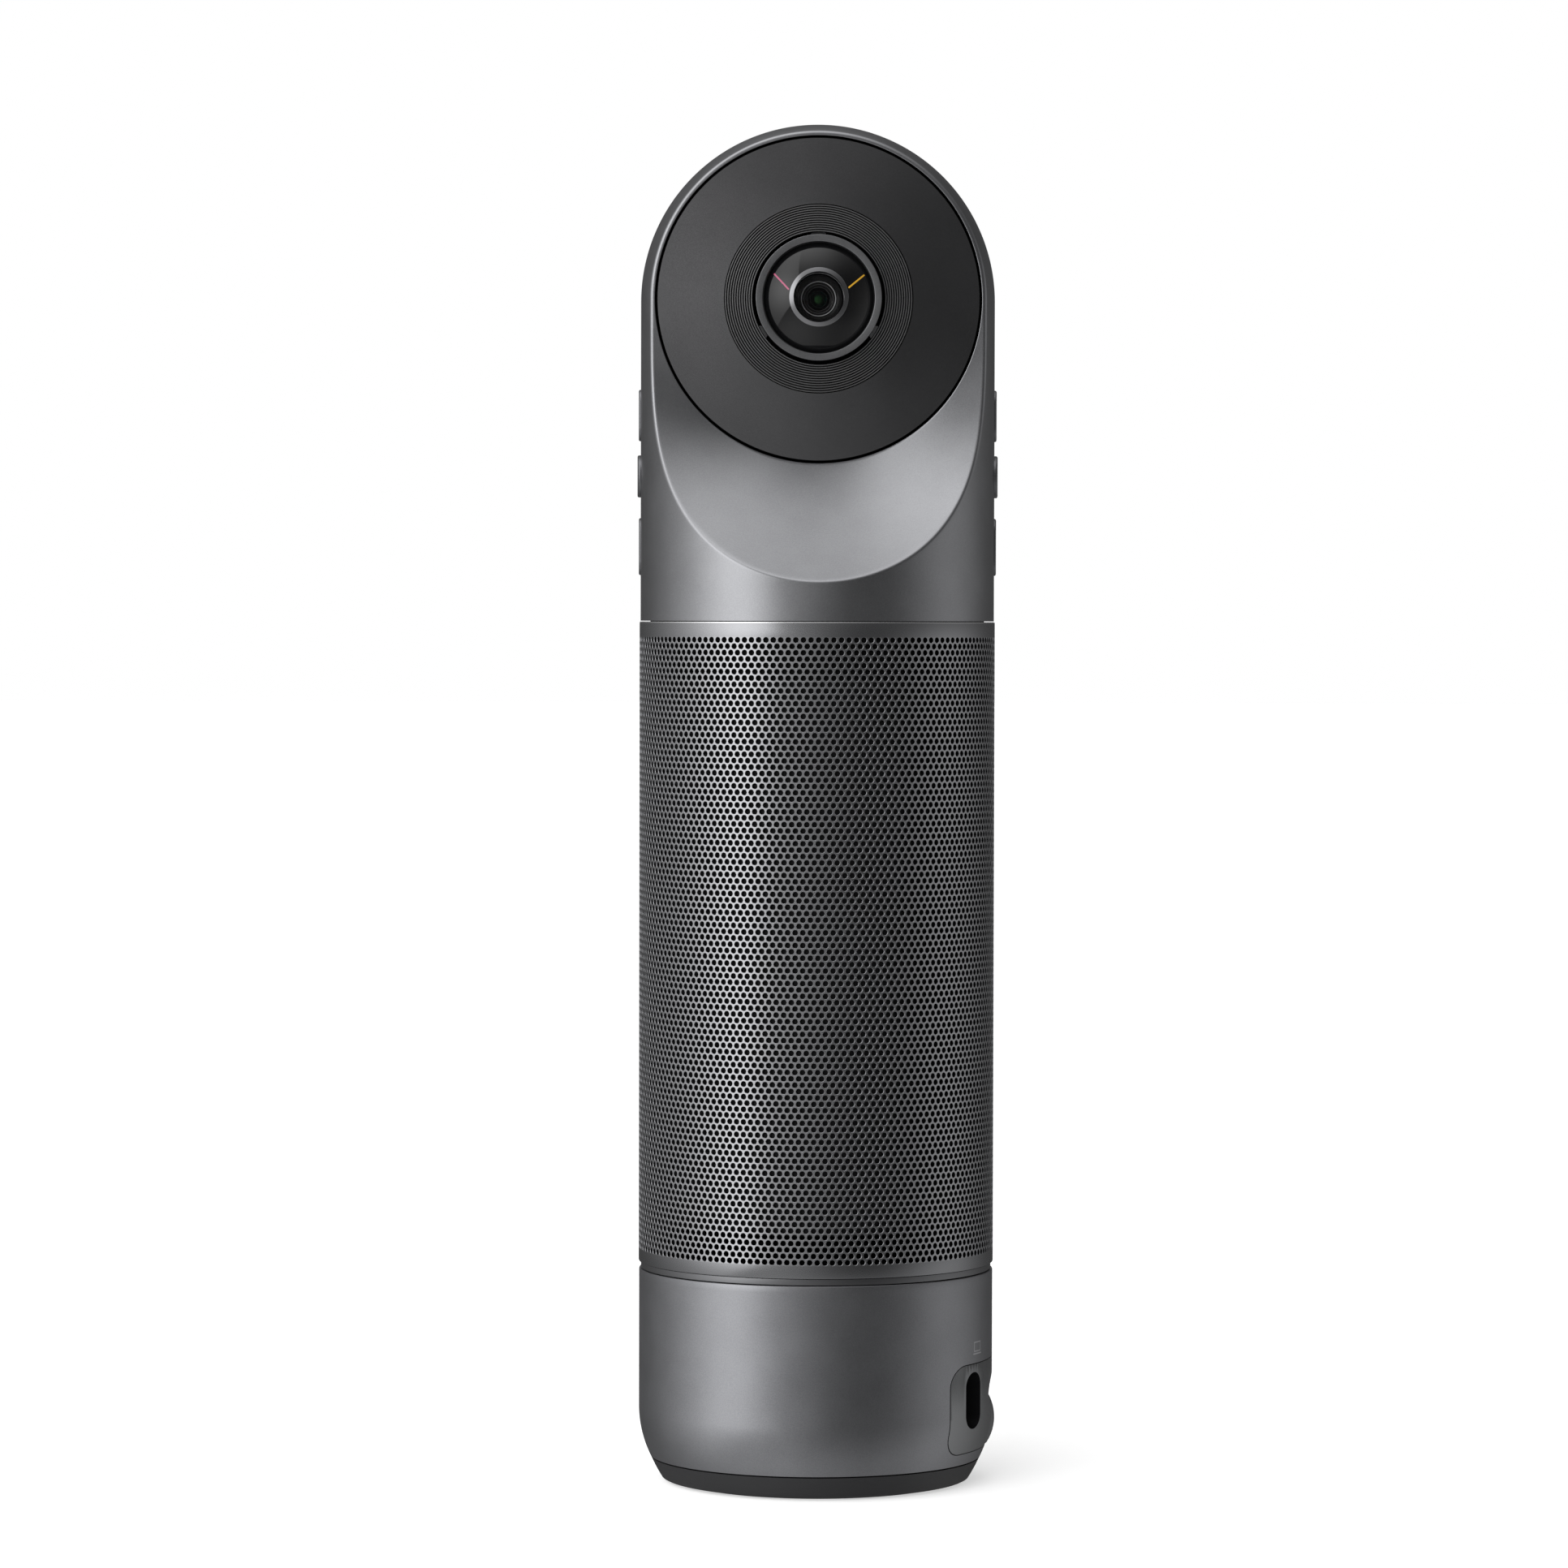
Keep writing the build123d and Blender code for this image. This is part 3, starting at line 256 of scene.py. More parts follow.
# ---- Base cap ----------------------------------------------------------------------------------
# The dark cap that closes the base. It is moulded in black plastic and carries on the shell's
# rounded lower edge, with a fine seam between the two. Three screws under the foot hold it.
base_radius = 37.9
base_curve_radius, base_curve_height = 24.0, 16.0
base_seam = 5.3


def base_edge(height, inset=0.0):
    """The base's radius at a height: c + sqrt(R^2 - (k - z)^2) below the straight part."""
    drop = np.maximum(base_curve_height - height, 0)
    return base_radius - base_curve_radius + np.sqrt((base_curve_radius - inset) ** 2 - drop**2)


cap_plastic = moulded("cap_plastic", (0.018, 0.018, 0.0193), 0.40, depth=0.004)
cap_heights = np.linspace(1.15, base_seam - 0.2, 14)
cap_swell = 0.6 * ((base_seam - cap_heights) / base_seam) ** 1.5
cap_side = np.stack([base_edge(cap_heights) + cap_swell, cap_heights], -1)
cap_turn = np.array([(32.95, 0.80), (32.6, 0.62), (32.2, 0.53), (31.8, 0.50), (29.95, 0.50), (29.9, 1.4)])
cap_inside = np.array([(11.9, 1.4), (11.9, 0.6), (5.0, 0.6), (5.0, 3.6), (31.0, 3.6), (31.4, 7.9),
                       (32.6, 7.9)])
cap_lip = np.array([(32.7, 5.35), (34.3, 5.2)])
cap_outline = np.concatenate([cap_turn[::-1], cap_side, cap_lip, cap_inside[::-1]])
skin("base_cap_moulding", *turned(cap_outline), cap_plastic, "trim", ["base_cap"])


# ---- Base shell --------------------------------------------------------------------------------
# A drawn aluminium cup round the sockets, blasted with fine beads and anodised space grey. It has a
# rounded lower edge and one window, where the port panel comes through.
base_top = 45.6
panel_width, panel_low, panel_high, panel_corner = 50.6, 8.0, 27.0, 4.5
panel_middle, panel_gap = (panel_low + panel_high) / 2, 0.1
screen_turn, screen_height = math.radians(64.5), 30.2


def blasted(metal, dark, light, roughness, drift_size=9.0, depth=0.0055):
    """The colour, roughness and bumps of anodised aluminium after bead blasting: a fine even sparkle
    over a slow drift of shade."""
    beads, drift = metal.grain(0.22, 2), metal.grain(drift_size, 3)
    shade = metal.between(beads * 0.65 + drift * 0.35, 0.3, 0.7)
    rough = roughness + (drift - 0.5) * 0.05 + (beads - 0.5) * 0.10
    return metal.blend(shade, dark, light), rough, metal.bump(beads, depth)


def blasted_metal(name, colour, roughness=0.32, drift_size=9.0, depth=0.0055):
    metal = Finish(name, Metallic=1.0)
    dark, light = (tuple(c * k for c in colour) for k in (0.90, 1.10))
    bare, rough, bumps = blasted(metal, dark, light, roughness, drift_size, depth)
    return metal.feed(Base_Color=bare, Roughness=rough, Normal=bumps)


def rounded_prism(width, height, corner, near, far, middle, steps=9):
    """A prism along X with a rounded outline across Y and Z: the corner arcs are c + r (cos a, sin a)."""
    angle = np.linspace(0, np.pi / 2, steps)[None, :] + np.arange(4)[:, None] * np.pi / 2
    signs = np.array([(1, 1), (-1, 1), (-1, -1), (1, -1)])
    y = signs[:, :1] * (width / 2 - corner) + corner * np.cos(angle)
    z = signs[:, 1:] * (height / 2 - corner) + corner * np.sin(angle)
    rings = [(near, 0), (near, 1), (far, 1), (far, 0)]
    y, z = y.ravel(), z.ravel()
    grid = np.stack([np.stack([x + 0 * y, middle[0] + s * y, middle[1] + s * z], -1) for x, s in rings])
    return grid.reshape(-1, 3), cells(len(rings), y.size)


def cut(piece, points, faces, crease=32):
    """Takes a closed form away from a piece."""
    mesh = bpy.data.meshes.new("cutter")
    mesh.from_pydata((points / 1000).tolist(), [], faces.tolist())
    welded(mesh)
    cutter = bpy.data.objects.new("cutter", mesh)
    bpy.context.scene.collection.objects.link(cutter)
    modifier = piece.modifiers.new("window", "BOOLEAN")
    modifier.operation, modifier.solver, modifier.object = "DIFFERENCE", "EXACT", cutter
    bpy.context.view_layer.update()
    shaped = bpy.data.meshes.new_from_object(piece.evaluated_get(bpy.context.evaluated_depsgraph_get()))
    piece.modifiers.clear()
    old = piece.data
    piece.data = shaped
    shaped.name = old.name
    bpy.data.meshes.remove(old)
    bpy.data.objects.remove(cutter)
    bpy.data.meshes.remove(mesh)
    smoothed(shaped, crease)


def base_shade():
    """The shell's metal, with a small screen engraved over the socket: an outline and a bar under it, in
    u = R atan2(x, -y) round the shell and v up it."""
    metal = Finish("base_metal", Metallic=1.0)
    x, y, z = metal.split()
    u = abs((metal.sum("ARCTAN2", x, y * -1) - screen_turn) * base_radius)
    v = z - screen_height
    outline = 1 - metal.between(abs((u - 1.55).max(abs(v - 0.35) - 0.95)), 0.09, 0.15)
    bar = 1 - metal.between((u - 2.0).max(abs(v + 1.15) - 0.12), 0, 0.06)
    bare, rough, bumps = blasted(metal, (0.281, 0.284, 0.298), (0.343, 0.346, 0.364), 0.38)
    marked = metal.blend(outline.max(bar), bare, (0.62, 0.62, 0.64))
    return metal.feed(Base_Color=marked, Roughness=rough, Normal=bumps)


shell_metal = base_shade()
shell_heights = np.concatenate([np.linspace(base_seam + 0.12, 16, 24), np.linspace(17, base_top - 0.3, 26)])
shell_side = np.stack([base_edge(shell_heights), shell_heights], -1)
shell_top = np.array([(37.86, base_top - 0.12), (37.75, base_top - 0.02), (37.6, base_top), (35.7, base_top)])
shell_inner_heights = np.array([16.0, 12.0, 9.0, 7.0, base_seam])
shell_inner = np.stack([base_edge(shell_inner_heights, 2.2), shell_inner_heights], -1)
shell_foot = np.array([(34.85, base_seam), (35.05, base_seam + 0.03)])
shell_outline = np.concatenate([shell_side, shell_top, shell_inner, shell_foot])
base_shell = skin("base_shell_cup", *turned(shell_outline, 720), shell_metal, "shell", ["base_shell"])
window = rounded_prism(panel_width + 2 * panel_gap, panel_high - panel_low + 2 * panel_gap,
                       panel_corner + panel_gap, 15, 42, (0, panel_middle))
cut(base_shell, *window)


# ---- Port panel and sockets --------------------------------------------------------------------
# A panel in the shell's window, moulded with a scoop for a fingertip and a low hump under it, and
# coated to match the metal. Two steel sockets stand behind its openings. A flange inside holds it.
opening_side, opening_height, opening_reach, opening_spine = 17.8, 19.2, 3.0, 3.0


def distance(first, second):
    return (first * first + second * second) ** 0.5


def port_shade():
    """A satin coat close to the shell's metal. It is painted black inside the plug openings, each of which is
    all that lies within its reach of its spine, and along the panel's rounded outline where it meets the
    window: painted shade in the openings and in the hairline between panel and shell."""
    coat = Finish("port_coat", Metallic=0.85)
    pits, drift = coat.grain(0.25, 2), coat.grain(9.0, 2)
    _, y, z = coat.split()
    up = (abs(z - opening_height) - opening_spine).max(0.0)
    off = distance(abs(y) - opening_side, up)
    painted_opening_shade = 1 - coat.between(off, opening_reach, opening_reach + 0.06)
    out = (abs(y) - (panel_width / 2 - panel_corner)).max(0.0)
    down = (abs(z - panel_middle) - ((panel_high - panel_low) / 2 - panel_corner)).max(0.0)
    painted_seam_shade = coat.between(distance(out, down), panel_corner - 0.13, panel_corner - 0.07)
    bare = coat.blend(pits * 0.5 + drift * 0.5, (0.25, 0.255, 0.262), (0.30, 0.305, 0.312))
    # Painted shade: black in the plug openings and along the panel's outline.
    return coat.feed(Base_Color=coat.blend(painted_opening_shade.max(painted_seam_shade), bare, (0.008, 0.008, 0.009)),
                     Roughness=0.36 + (pits - 0.5) * 0.1 + painted_opening_shade * 0.3, Normal=coat.bump(pits, 0.003))


def dressed(node, name, material, crease=28.0):
    """A copy of a node's mesh with its loose triangles joined and its curved faces shaded smoothly."""
    mesh = frame["nodes"][node].data.copy()
    mesh.name = name
    welded(mesh, 1e-6, slivers=False, outward=False)
    smoothed(mesh, crease)
    mesh.materials.clear()
    bodies = frame["record"]["behaviour"]["bodies"]
    body = next(body for body, members in bodies.items() if node in members)
    return hung(name, mesh, material, [node], body)


# The sockets' steel is painted nearly black, as painted shade deep in the plug openings.
socket_steel_painted_dark = blasted_metal("socket_steel_painted_dark", (0.05, 0.05, 0.052), 0.35, 3.0)
dressed("port_panel", "port_panel_moulding", port_shade())
for end in ("front", "rear"):
    dressed(f"{end}_plug_socket", f"{end}_socket_shell", socket_steel_painted_dark)


# ---- Lower ring --------------------------------------------------------------------------------
# The ring that joins the base to the sleeve, screwed to the base shell. It is moulded in black, and
# its narrow edge, which stands back half a millimetre between them, is coated like dull metal.
trim_radius = 37.5


def trim_shade():
    """A coat like dull metal on the edge that shows, over black plastic behind the sleeve."""
    coat = Finish("trim_coat", Metallic=1.0)
    pits, drift = coat.grain(0.25, 2), coat.grain(8.0, 3)
    x, y, _ = coat.split()
    shown = coat.between(distance(x, y), trim_radius - 0.2, trim_radius - 0.1)
    bare = coat.blend(pits * 0.5 + drift * 0.5, (0.19, 0.192, 0.20), (0.23, 0.232, 0.24))
    return coat.feed(Base_Color=coat.blend(shown, (0.004, 0.004, 0.004), bare), Normal=coat.bump(pits, 0.004),
                     Roughness=0.36 + (pits - 0.5) * 0.1 + (1 - shown) * 0.3)


ring_outline = eased(
    [(33.1, 39.75), (35.6, 39.75), (35.6, 45.75), (trim_radius, 45.75), (trim_radius, 47.08),
     (37.1, 47.1), (37.1, 56.0), (8.0, 56.0), (8.0, 53.5), (34.5, 53.5), (34.5, 47.1), (33.1, 45.75)], 0.12)
skin("lower_ring_moulding", *turned(ring_outline), trim_shade(), "trim", ["lower_ring"])


# ---- Grille sleeve -----------------------------------------------------------------------------
# A rolled aluminium sleeve with about fifteen thousand punched holes in staggered rows, each with
# a small chamfer that catches the light. It slides over a black cloth and is clamped by two rings.
sleeve_radius, sleeve_wall = 38.0, 0.8
sleeve_low, sleeve_high = 47.15, 184.0
hole_rows, hole_columns, sleeve_parts = 99, 150, 6
hole_low, hole_high = 50.55, 180.2
hole_radius, hole_chamfer = 0.60, 0.05
row_pitch = (hole_high - hole_low) / (hole_rows - 1)
arc_pitch = 2 * math.pi / hole_columns * sleeve_radius
part_columns = hole_columns // sleeve_parts


def sleeve_shade():
    """The sleeve's metal. Its upper chamfer is painted near white, a painted highlight along the edge, and it
    is a little darker past the first and the last row of holes."""
    metal = Finish("grille_metal", Metallic=1.0)
    beads, drift = metal.grain(0.22, 2), metal.grain(12.0, 3)
    _, _, z = metal.split()
    under = 1 - metal.between(z, hole_low - 0.8, hole_low - 0.4)
    over = metal.between(z, hole_high + 0.4, hole_high + 0.8)
    edge = metal.between(z, sleeve_high - 0.26, sleeve_high - 0.22)
    bare = metal.blend(beads * 0.6 + drift * 0.4, (0.36, 0.362, 0.376), (0.44, 0.443, 0.458))
    bare = metal.blend(under, metal.blend(over, bare, (0.32, 0.322, 0.334)), (0.265, 0.267, 0.277))
    # Painted highlight: the near-white colour on the upper chamfer.
    return metal.feed(Base_Color=metal.blend(edge, bare, (0.95, 0.95, 0.96)), Normal=metal.bump(beads, 0.005),
                      Roughness=0.27 + (drift - 0.5) * 0.05 + (beads - 0.5) * 0.1)


# Twelve points round a cell, the same on both sides of each border: side, corner, quarter, middle...
quarter = [(0.5, 0.0), (0.5, 0.5), (0.25, 0.5), (0.0, 0.5)]
cell_edge = np.array([(x, y) for x, y in quarter] + [(-x, y) for x, y in quarter[2:0:-1] + quarter[:1]]
                     + [(-x, -y) for x, y in quarter[1:]] + [(x, -y) for x, y in quarter[2:0:-1]])
cell_edge = cell_edge * (arc_pitch, row_pitch)
hole_turn = np.arctan2(cell_edge[:, 1], cell_edge[:, 0])
hole_edge = np.stack([np.cos(hole_turn), np.sin(hole_turn)], -1) * hole_radius
# Rings of a cell, from its border to the back of its hole: (where in the sheet, how deep).
cell_rings = [(cell_edge, 0.0), (hole_edge * (1 + hole_chamfer / hole_radius), 0.0),
              (hole_edge, hole_chamfer), (hole_edge, sleeve_wall)]


def rolled(u, radius, height):
    """A flat sheet rolled round the camera: x = r cos(u / R), y = r sin(u / R), from the front on."""
    angle = u / sleeve_radius - math.pi / 2
    return np.stack([radius * np.cos(angle), radius * np.sin(angle), height + 0 * angle], -1).reshape(-1, 3)


def sleeve_part(number):
    """The holes of one part of the sleeve, cell by cell. A cell in row i and column j has its middle at
    u = j + (i mod 2) / 2 times the pitch, so that every second row is staggered by half a cell."""
    row, column = np.meshgrid(np.arange(hole_rows), np.arange(part_columns), indexing="ij")
    middle_u = (number * part_columns + column + row % 2 / 2) * arc_pitch
    middle = np.stack([middle_u, hole_low + row * row_pitch], -1)
    flat = np.stack([middle[..., None, :] + ring for ring, _ in cell_rings], 2)
    depth = np.array([deep for _, deep in cell_rings])[None, None, :, None]
    block = len(cell_rings) * len(cell_edge)
    starts = np.arange(hole_rows * part_columns) * block
    faces = cells(len(cell_rings), len(cell_edge))[None] + starts[:, None, None]
    return rolled(flat[..., 0], sleeve_radius - depth, flat[..., 1]), faces.reshape(-1, 4)


def sleeve_band(number, heights, radii, shift):
    """A plain band at an end of the sleeve, whose steps round the camera match the cells' borders."""
    u = (number * part_columns - 0.5 + shift + np.arange(4 * part_columns + 1) / 4) * arc_pitch
    points = rolled(u, np.array(radii)[:, None], np.array(heights)[:, None])
    return points, cells(len(heights), u.size, close_columns=False)


def joined(*forms):
    """Several forms as one: all their points, and their faces counted on."""
    starts = np.cumsum([0] + [len(points) for points, _ in forms])
    return (np.concatenate([points for points, _ in forms]),
            np.concatenate([faces + start for (_, faces), start in zip(forms, starts)]))


grille_metal = sleeve_shade()
edge_radii = [sleeve_radius - inset for inset in (sleeve_wall, 0.25, 0.07, 0, 0)]
low_border, high_border = hole_low - row_pitch / 2, hole_high + row_pitch / 2
low_heights = [sleeve_low, sleeve_low, sleeve_low + 0.07, sleeve_low + 0.25, low_border]
high_heights = [sleeve_high, sleeve_high, sleeve_high - 0.07, sleeve_high - 0.25, high_border]
for number in range(sleeve_parts):
    form = joined(sleeve_part(number), sleeve_band(number, low_heights, edge_radii, 0),
                  sleeve_band(number, high_heights[::-1], edge_radii[::-1], (hole_rows - 1) % 2 / 2))
    skin(f"grille_sleeve_part_{number + 1}", *form, grille_metal, "grille", ["grille_sleeve"],
         closed=False, crease=30)


# ---- Head shell --------------------------------------------------------------------------------
# One milled and blasted aluminium shell. It is a domed tube with a scooped flat on two sides, whose
# edge is rounded to a bright line, a round pocket for each lens panel, and three button holes a side.
head_radius, lens_height, head_low = 37.8, 252.2, 184.15
face_depth, pocket_radius, pocket_floor = 13.1, 34.6, 11.5
rim_rounding, lip_rounding = 0.8, 0.15
scoop_slope, scoop_fade, scoop_length, scoop_hollow = 0.976, 2.55, 25.3, 1.2
button_heights, button_lengths = (228.0, 215.0, 200.0), (11.0, 9.0, 12.2)
button_widths, button_stands = (6.0, 9.0, 6.0), (0.45, 0.7, 0.4)


def scoop(x, z):
    """How far the face lies from the camera's middle plane. It rises from the pocket's edge along lines
    out of the lens's axis, d + k g^n (r - p), where g is how steeply a line points down. Each line is
    hollowed a little by h g^4 4 u (1 - u), with u from 0 at the pocket to 1 at the rim."""
    reach = np.sqrt(x**2 + (z - lens_height) ** 2)
    down = np.clip((lens_height - z) / reach, 0, 1)
    out = reach - pocket_radius
    share = np.clip(out / (scoop_length * np.maximum(down, 0.2) ** 2), 0, 1)
    hollow = scoop_hollow * down**4 * 4 * share * (1 - share)
    return face_depth + scoop_slope * down**scoop_fade * np.maximum(out, 0) - hollow


def across(angle, reach):
    """The place on the face at a distance from the lens's axis, in the direction of an angle."""
    return reach * np.cos(angle), lens_height + reach * np.sin(angle)


def on_face(angle, reach):
    x, z = across(angle, reach)
    return np.stack([x, -scoop(x, z), z], -1)


def on_side(angle, reach):
    """The same on the tube below the lens's height, or on the dome above it: y = -sqrt(R^2 - x^2 - h^2)."""
    x, z = across(angle, reach)
    above = np.maximum(z - lens_height, 0)
    return np.stack([x, -np.sqrt(np.maximum(head_radius**2 - x**2 - above**2, 0)), z], -1)


def rim_reach(angle):
    """How far out the face meets the side in each direction, by halving the interval that holds it."""
    near, far = np.full(angle.shape, pocket_radius), np.full(angle.shape, 70.0)
    for _ in range(50):
        middle = (near + far) / 2
        x, z = across(angle, middle)
        outside = scoop(x, z) ** 2 + x**2 + np.maximum(z - lens_height, 0) ** 2 > head_radius**2
        near, far = np.where(outside, near, middle), np.where(outside, middle, far)
    return (near + far) / 2


def half_head():
    """The front half of the shell: for each direction from the lens, a path across the pocket's floor
    and wall, the face, the rounded rim and the side, to the middle plane or to the tube's lower end."""
    corner = math.atan2(lens_height - head_low, head_radius)
    angle = np.concatenate([np.linspace(-corner, math.pi + corner, 300, endpoint=False),
                            np.linspace(math.pi + corner, 2 * math.pi - corner, 72, endpoint=False)])
    fall = np.maximum(-np.sin(angle), 1e-9)
    end = np.minimum(head_radius / np.maximum(np.abs(np.cos(angle)), 1e-9), (lens_height - head_low) / fall)
    end = np.where(np.sin(angle) > 0, head_radius, end)
    rim = rim_reach(angle)
    step = 0.02
    face_step, side_step = on_face(angle, rim - step), on_side(angle, rim + step)
    peak = (on_face(angle, rim) + on_side(angle, rim)) / 2
    face_way, side_way = peak - face_step, side_step - peak
    face_rate, side_rate = (np.linalg.norm(way, axis=-1) / step for way in (face_way, side_way))
    bend = np.arccos(np.clip((face_way * side_way).sum(-1) / (face_rate * side_rate * step**2), -1, 1))
    ease = rim_rounding * np.tan(bend / 2) * 1.25
    face_end, side_start = rim - ease / face_rate, rim + ease / side_rate
    u = np.linspace(0, 1, 56)[:, None]
    face_start = pocket_radius + lip_rounding
    face = on_face(angle[None], face_start + (face_end - face_start)[None] * u)
    a, b = face[-1], on_side(angle, side_start)
    v = np.linspace(0, 1, 9)[1:-1, None, None]
    rounded = (1 - v) ** 2 * a + 2 * v * (1 - v) * peak + v**2 * b
    w = np.sin(np.linspace(0, np.pi / 2, 56))[:, None]
    side = on_side(angle[None], side_start[None] + (end - side_start)[None] * w)
    x, z = across(angle, pocket_radius)
    lip = scoop(x, z)
    wall = np.stack([np.stack([x, -lip + drop, z], -1) for drop in (0.9, lip_rounding)])
    floor_x, floor_z = across(angle, 32.5)
    floor = np.stack([np.stack([floor_x, -pocket_floor + 0 * lip, floor_z], -1),
                      np.stack([x, -pocket_floor + 0 * lip, z], -1)])
    ease_x, ease_z = across(angle, pocket_radius + 0.3 * lip_rounding)
    ease_row = np.stack([ease_x, -lip + 0.3 * lip_rounding, ease_z], -1)[None]
    path = np.concatenate([floor, wall, ease_row, face, rounded, side])
    return path.reshape(-1, 3), cells(len(path), len(angle))[:, ::-1]


def head_shade():
    """The shell's metal. It is painted dark round each button and in the pocket, by the distance from their
    outlines: painted shade in the hairlines round the buttons and in the pocket round the panel."""
    metal = Finish("head_metal", Metallic=1.0)
    x, y, z = metal.split()
    painted_gap_shade = 0.0
    for height, length, width in zip(button_heights, button_lengths, button_widths):
        along = (abs(z - height) - (length - width) / 2).max(0.0)
        gap = 1 - metal.between(distance(along, y), width / 2 + 0.13, width / 2 + 0.19)
        painted_gap_shade = gap.max(painted_gap_shade)
    pocket = 1 - metal.between(distance(x, z - lens_height), pocket_radius + 0.01, pocket_radius + 0.05)
    # Painted shade round the buttons and in the pocket.
    dark = (painted_gap_shade * metal.between(abs(x), 30, 31)).max(pocket)
    bare, rough, bumps = blasted(metal, (0.302, 0.304, 0.317), (0.369, 0.372, 0.387), 0.32)
    return metal.feed(Base_Color=metal.blend(dark, bare, (0.006, 0.006, 0.006)), Roughness=rough + dark * 0.3,
                      Normal=bumps)


def true_sides(piece, top=200, half_width=14):
    """Gives the points of the plain tube at the sides, where the grid's lines run together, the tube's
    own normals, (x, y, 0) / R. A zero leaves the other points with the normals that they have."""
    at = np.empty(3 * len(piece.data.vertices))
    piece.data.vertices.foreach_get("co", at)
    at = at.reshape(-1, 3) * 1000
    radius = np.maximum(np.hypot(at[:, 0], at[:, 1]), 1e-6)
    on_tube = (np.abs(radius - head_radius) < 0.01) & (np.abs(at[:, 1]) < half_width)
    on_tube &= (at[:, 2] < top) & (at[:, 2] > head_low + 0.13)
    normals = at * (1, 1, 0) / radius[:, None] * on_tube[:, None]
    piece.data.normals_split_custom_set_from_vertices(normals.tolist())


head_points, head_faces = half_head()
hem_outline = np.array([(head_radius, head_low + 0.14), (head_radius - 0.04, head_low + 0.04),
                        (head_radius - 0.14, head_low), (35.8, head_low), (35.8, 190.0), (35.9, 190.0),
                        (35.9, head_low + 0.14)])
hem_points, hem_faces = turned(hem_outline, 372)
head_form = joined((head_points, head_faces), (head_points * (-1, -1, 1), head_faces),
                   (hem_points, hem_faces[:, ::-1]))
head = skin("head_shell_metal", *head_form, head_shade(), "shell", ["head_shell"], crease=40, closed=False)
true_sides(head)


# ---- Buttons -----------------------------------------------------------------------------------
# Six aluminium keys, three on a side. Each has a crowned cap with a soft edge that stands a little
# proud of the shell, and a flange behind the wall that keeps it in. A switch board takes the press.
key_metal = blasted_metal("key_metal", (0.20, 0.202, 0.21), 0.38, 5.0)


def key(height, length, width, stand, side):
    """A key's cap as rings inside one another. A ring inset by d from the outline has the radius w - d
    round the same spine, and x = sqrt((R + s)^2 - y^2) less the drop of a rounded edge."""
    rounding, steps = 0.35, 25
    half, spine = width / 2, (length - width) / 2
    turn = np.concatenate([np.linspace(0, np.pi, steps), np.linspace(np.pi, 2 * np.pi, steps)])
    shift = np.repeat([spine, -spine], steps)
    bend = np.linspace(0, np.pi / 2, 7)
    insets = np.concatenate([[0.0, 0.0], rounding * (1 - np.cos(bend)), np.linspace(rounding, half, 12)[1:]])
    drops = np.concatenate([[3.5, 1.5], rounding * (1 - np.sin(bend)), np.zeros(11)])
    reach = (half - insets)[:, None]
    y = reach * np.cos(turn)
    z = height + shift + reach * np.sin(turn)
    x = np.sqrt((head_radius + stand) ** 2 - y**2) - drops[:, None]
    x = np.where(drops[:, None] >= 1.5, head_radius + stand - drops[:, None], x)
    grid = np.stack([x * side, y, z], -1)
    return grid.reshape(-1, 3), cells(len(insets), turn.size)


for side_name, side in (("right", 1), ("left", -1)):
    sizes = zip(("upper", "middle", "lower"), button_heights, button_lengths, button_widths, button_stands)
    for name, height, length, width, stand in sizes:
        node = f"{side_name}_{name}_button"
        skin(f"{node}_cap", *key(height, length, width, stand, side), key_metal, "button", [node], body=node)


# ---- Lens panels -------------------------------------------------------------------------------
# A dark disc round each lens, pressed to a shallow cone and finished like the shell but nearly
# black. It sits in the head's pocket with a hairline gap, and is stuck to the pocket's floor.


def about_lens(made, rear):
    """Lays a form turned about Z on the lens's axis, looking to the front or to the rear."""
    points, faces = made
    side = 1 if rear else -1
    laid = np.stack([-side * points[:, 0], side * points[:, 2], lens_height + points[:, 1]], -1)
    return laid, faces


panel_inner, panel_outer, panel_rise = 20.0, 34.15, 2.6
panel_coat = blasted_metal("panel_coat", (0.172, 0.172, 0.177), 0.22, 14.0, 0.0003)
cone = np.linspace(panel_outer - 0.12, panel_inner, 24)
cone_level = face_depth + panel_rise * (panel_outer - cone) / (panel_outer - panel_inner)
panel_front = np.stack([cone, cone_level], -1)
panel_back = [(panel_inner, 11.5), (panel_outer, 11.5), (panel_outer, face_depth - 0.12)]
panel_outline = np.concatenate([panel_back, panel_front])
for end in ("front", "rear"):
    skin(f"{end}_panel_disc", *about_lens(turned(panel_outline), end == "rear"), panel_coat,
         "panel_gloss", [f"{end}_lens_panel"])


# ---- Ribbed rings ------------------------------------------------------------------------------
# A black cone between the panel and the lens, moulded with twelve fine steps that stop stray light.
# Its flange is trapped behind the panel.
ring_steps, ring_rise, ring_inner, ring_outer = 12, 4.8, 13.9, 19.9


def rib_shade():
    """Satin black, painted paler on the top of each rib as a painted highlight and deep black in the grooves
    between them as painted shade.
    """
    black = Finish("ring_black", Specular_IOR_Level=0.7)
    x, _, z = black.split()
    steps = (ring_outer - distance(x, z - lens_height)) * (ring_steps / (ring_outer - ring_inner))
    # Painted shade in the grooves, and the pale colour below as painted highlight on the tops of the ribs.
    painted_groove_shade = black.between(abs(black.sum("FRACT", steps, 0) - 0.46), 0.18, 0.36)
    drift = black.grain(5.0, 2)
    pale = black.blend(drift, (0.062, 0.062, 0.063), (0.078, 0.078, 0.079))
    return black.feed(Base_Color=black.blend(painted_groove_shade, pale, (0.006, 0.006, 0.006)), Roughness=0.3 + drift * 0.06)


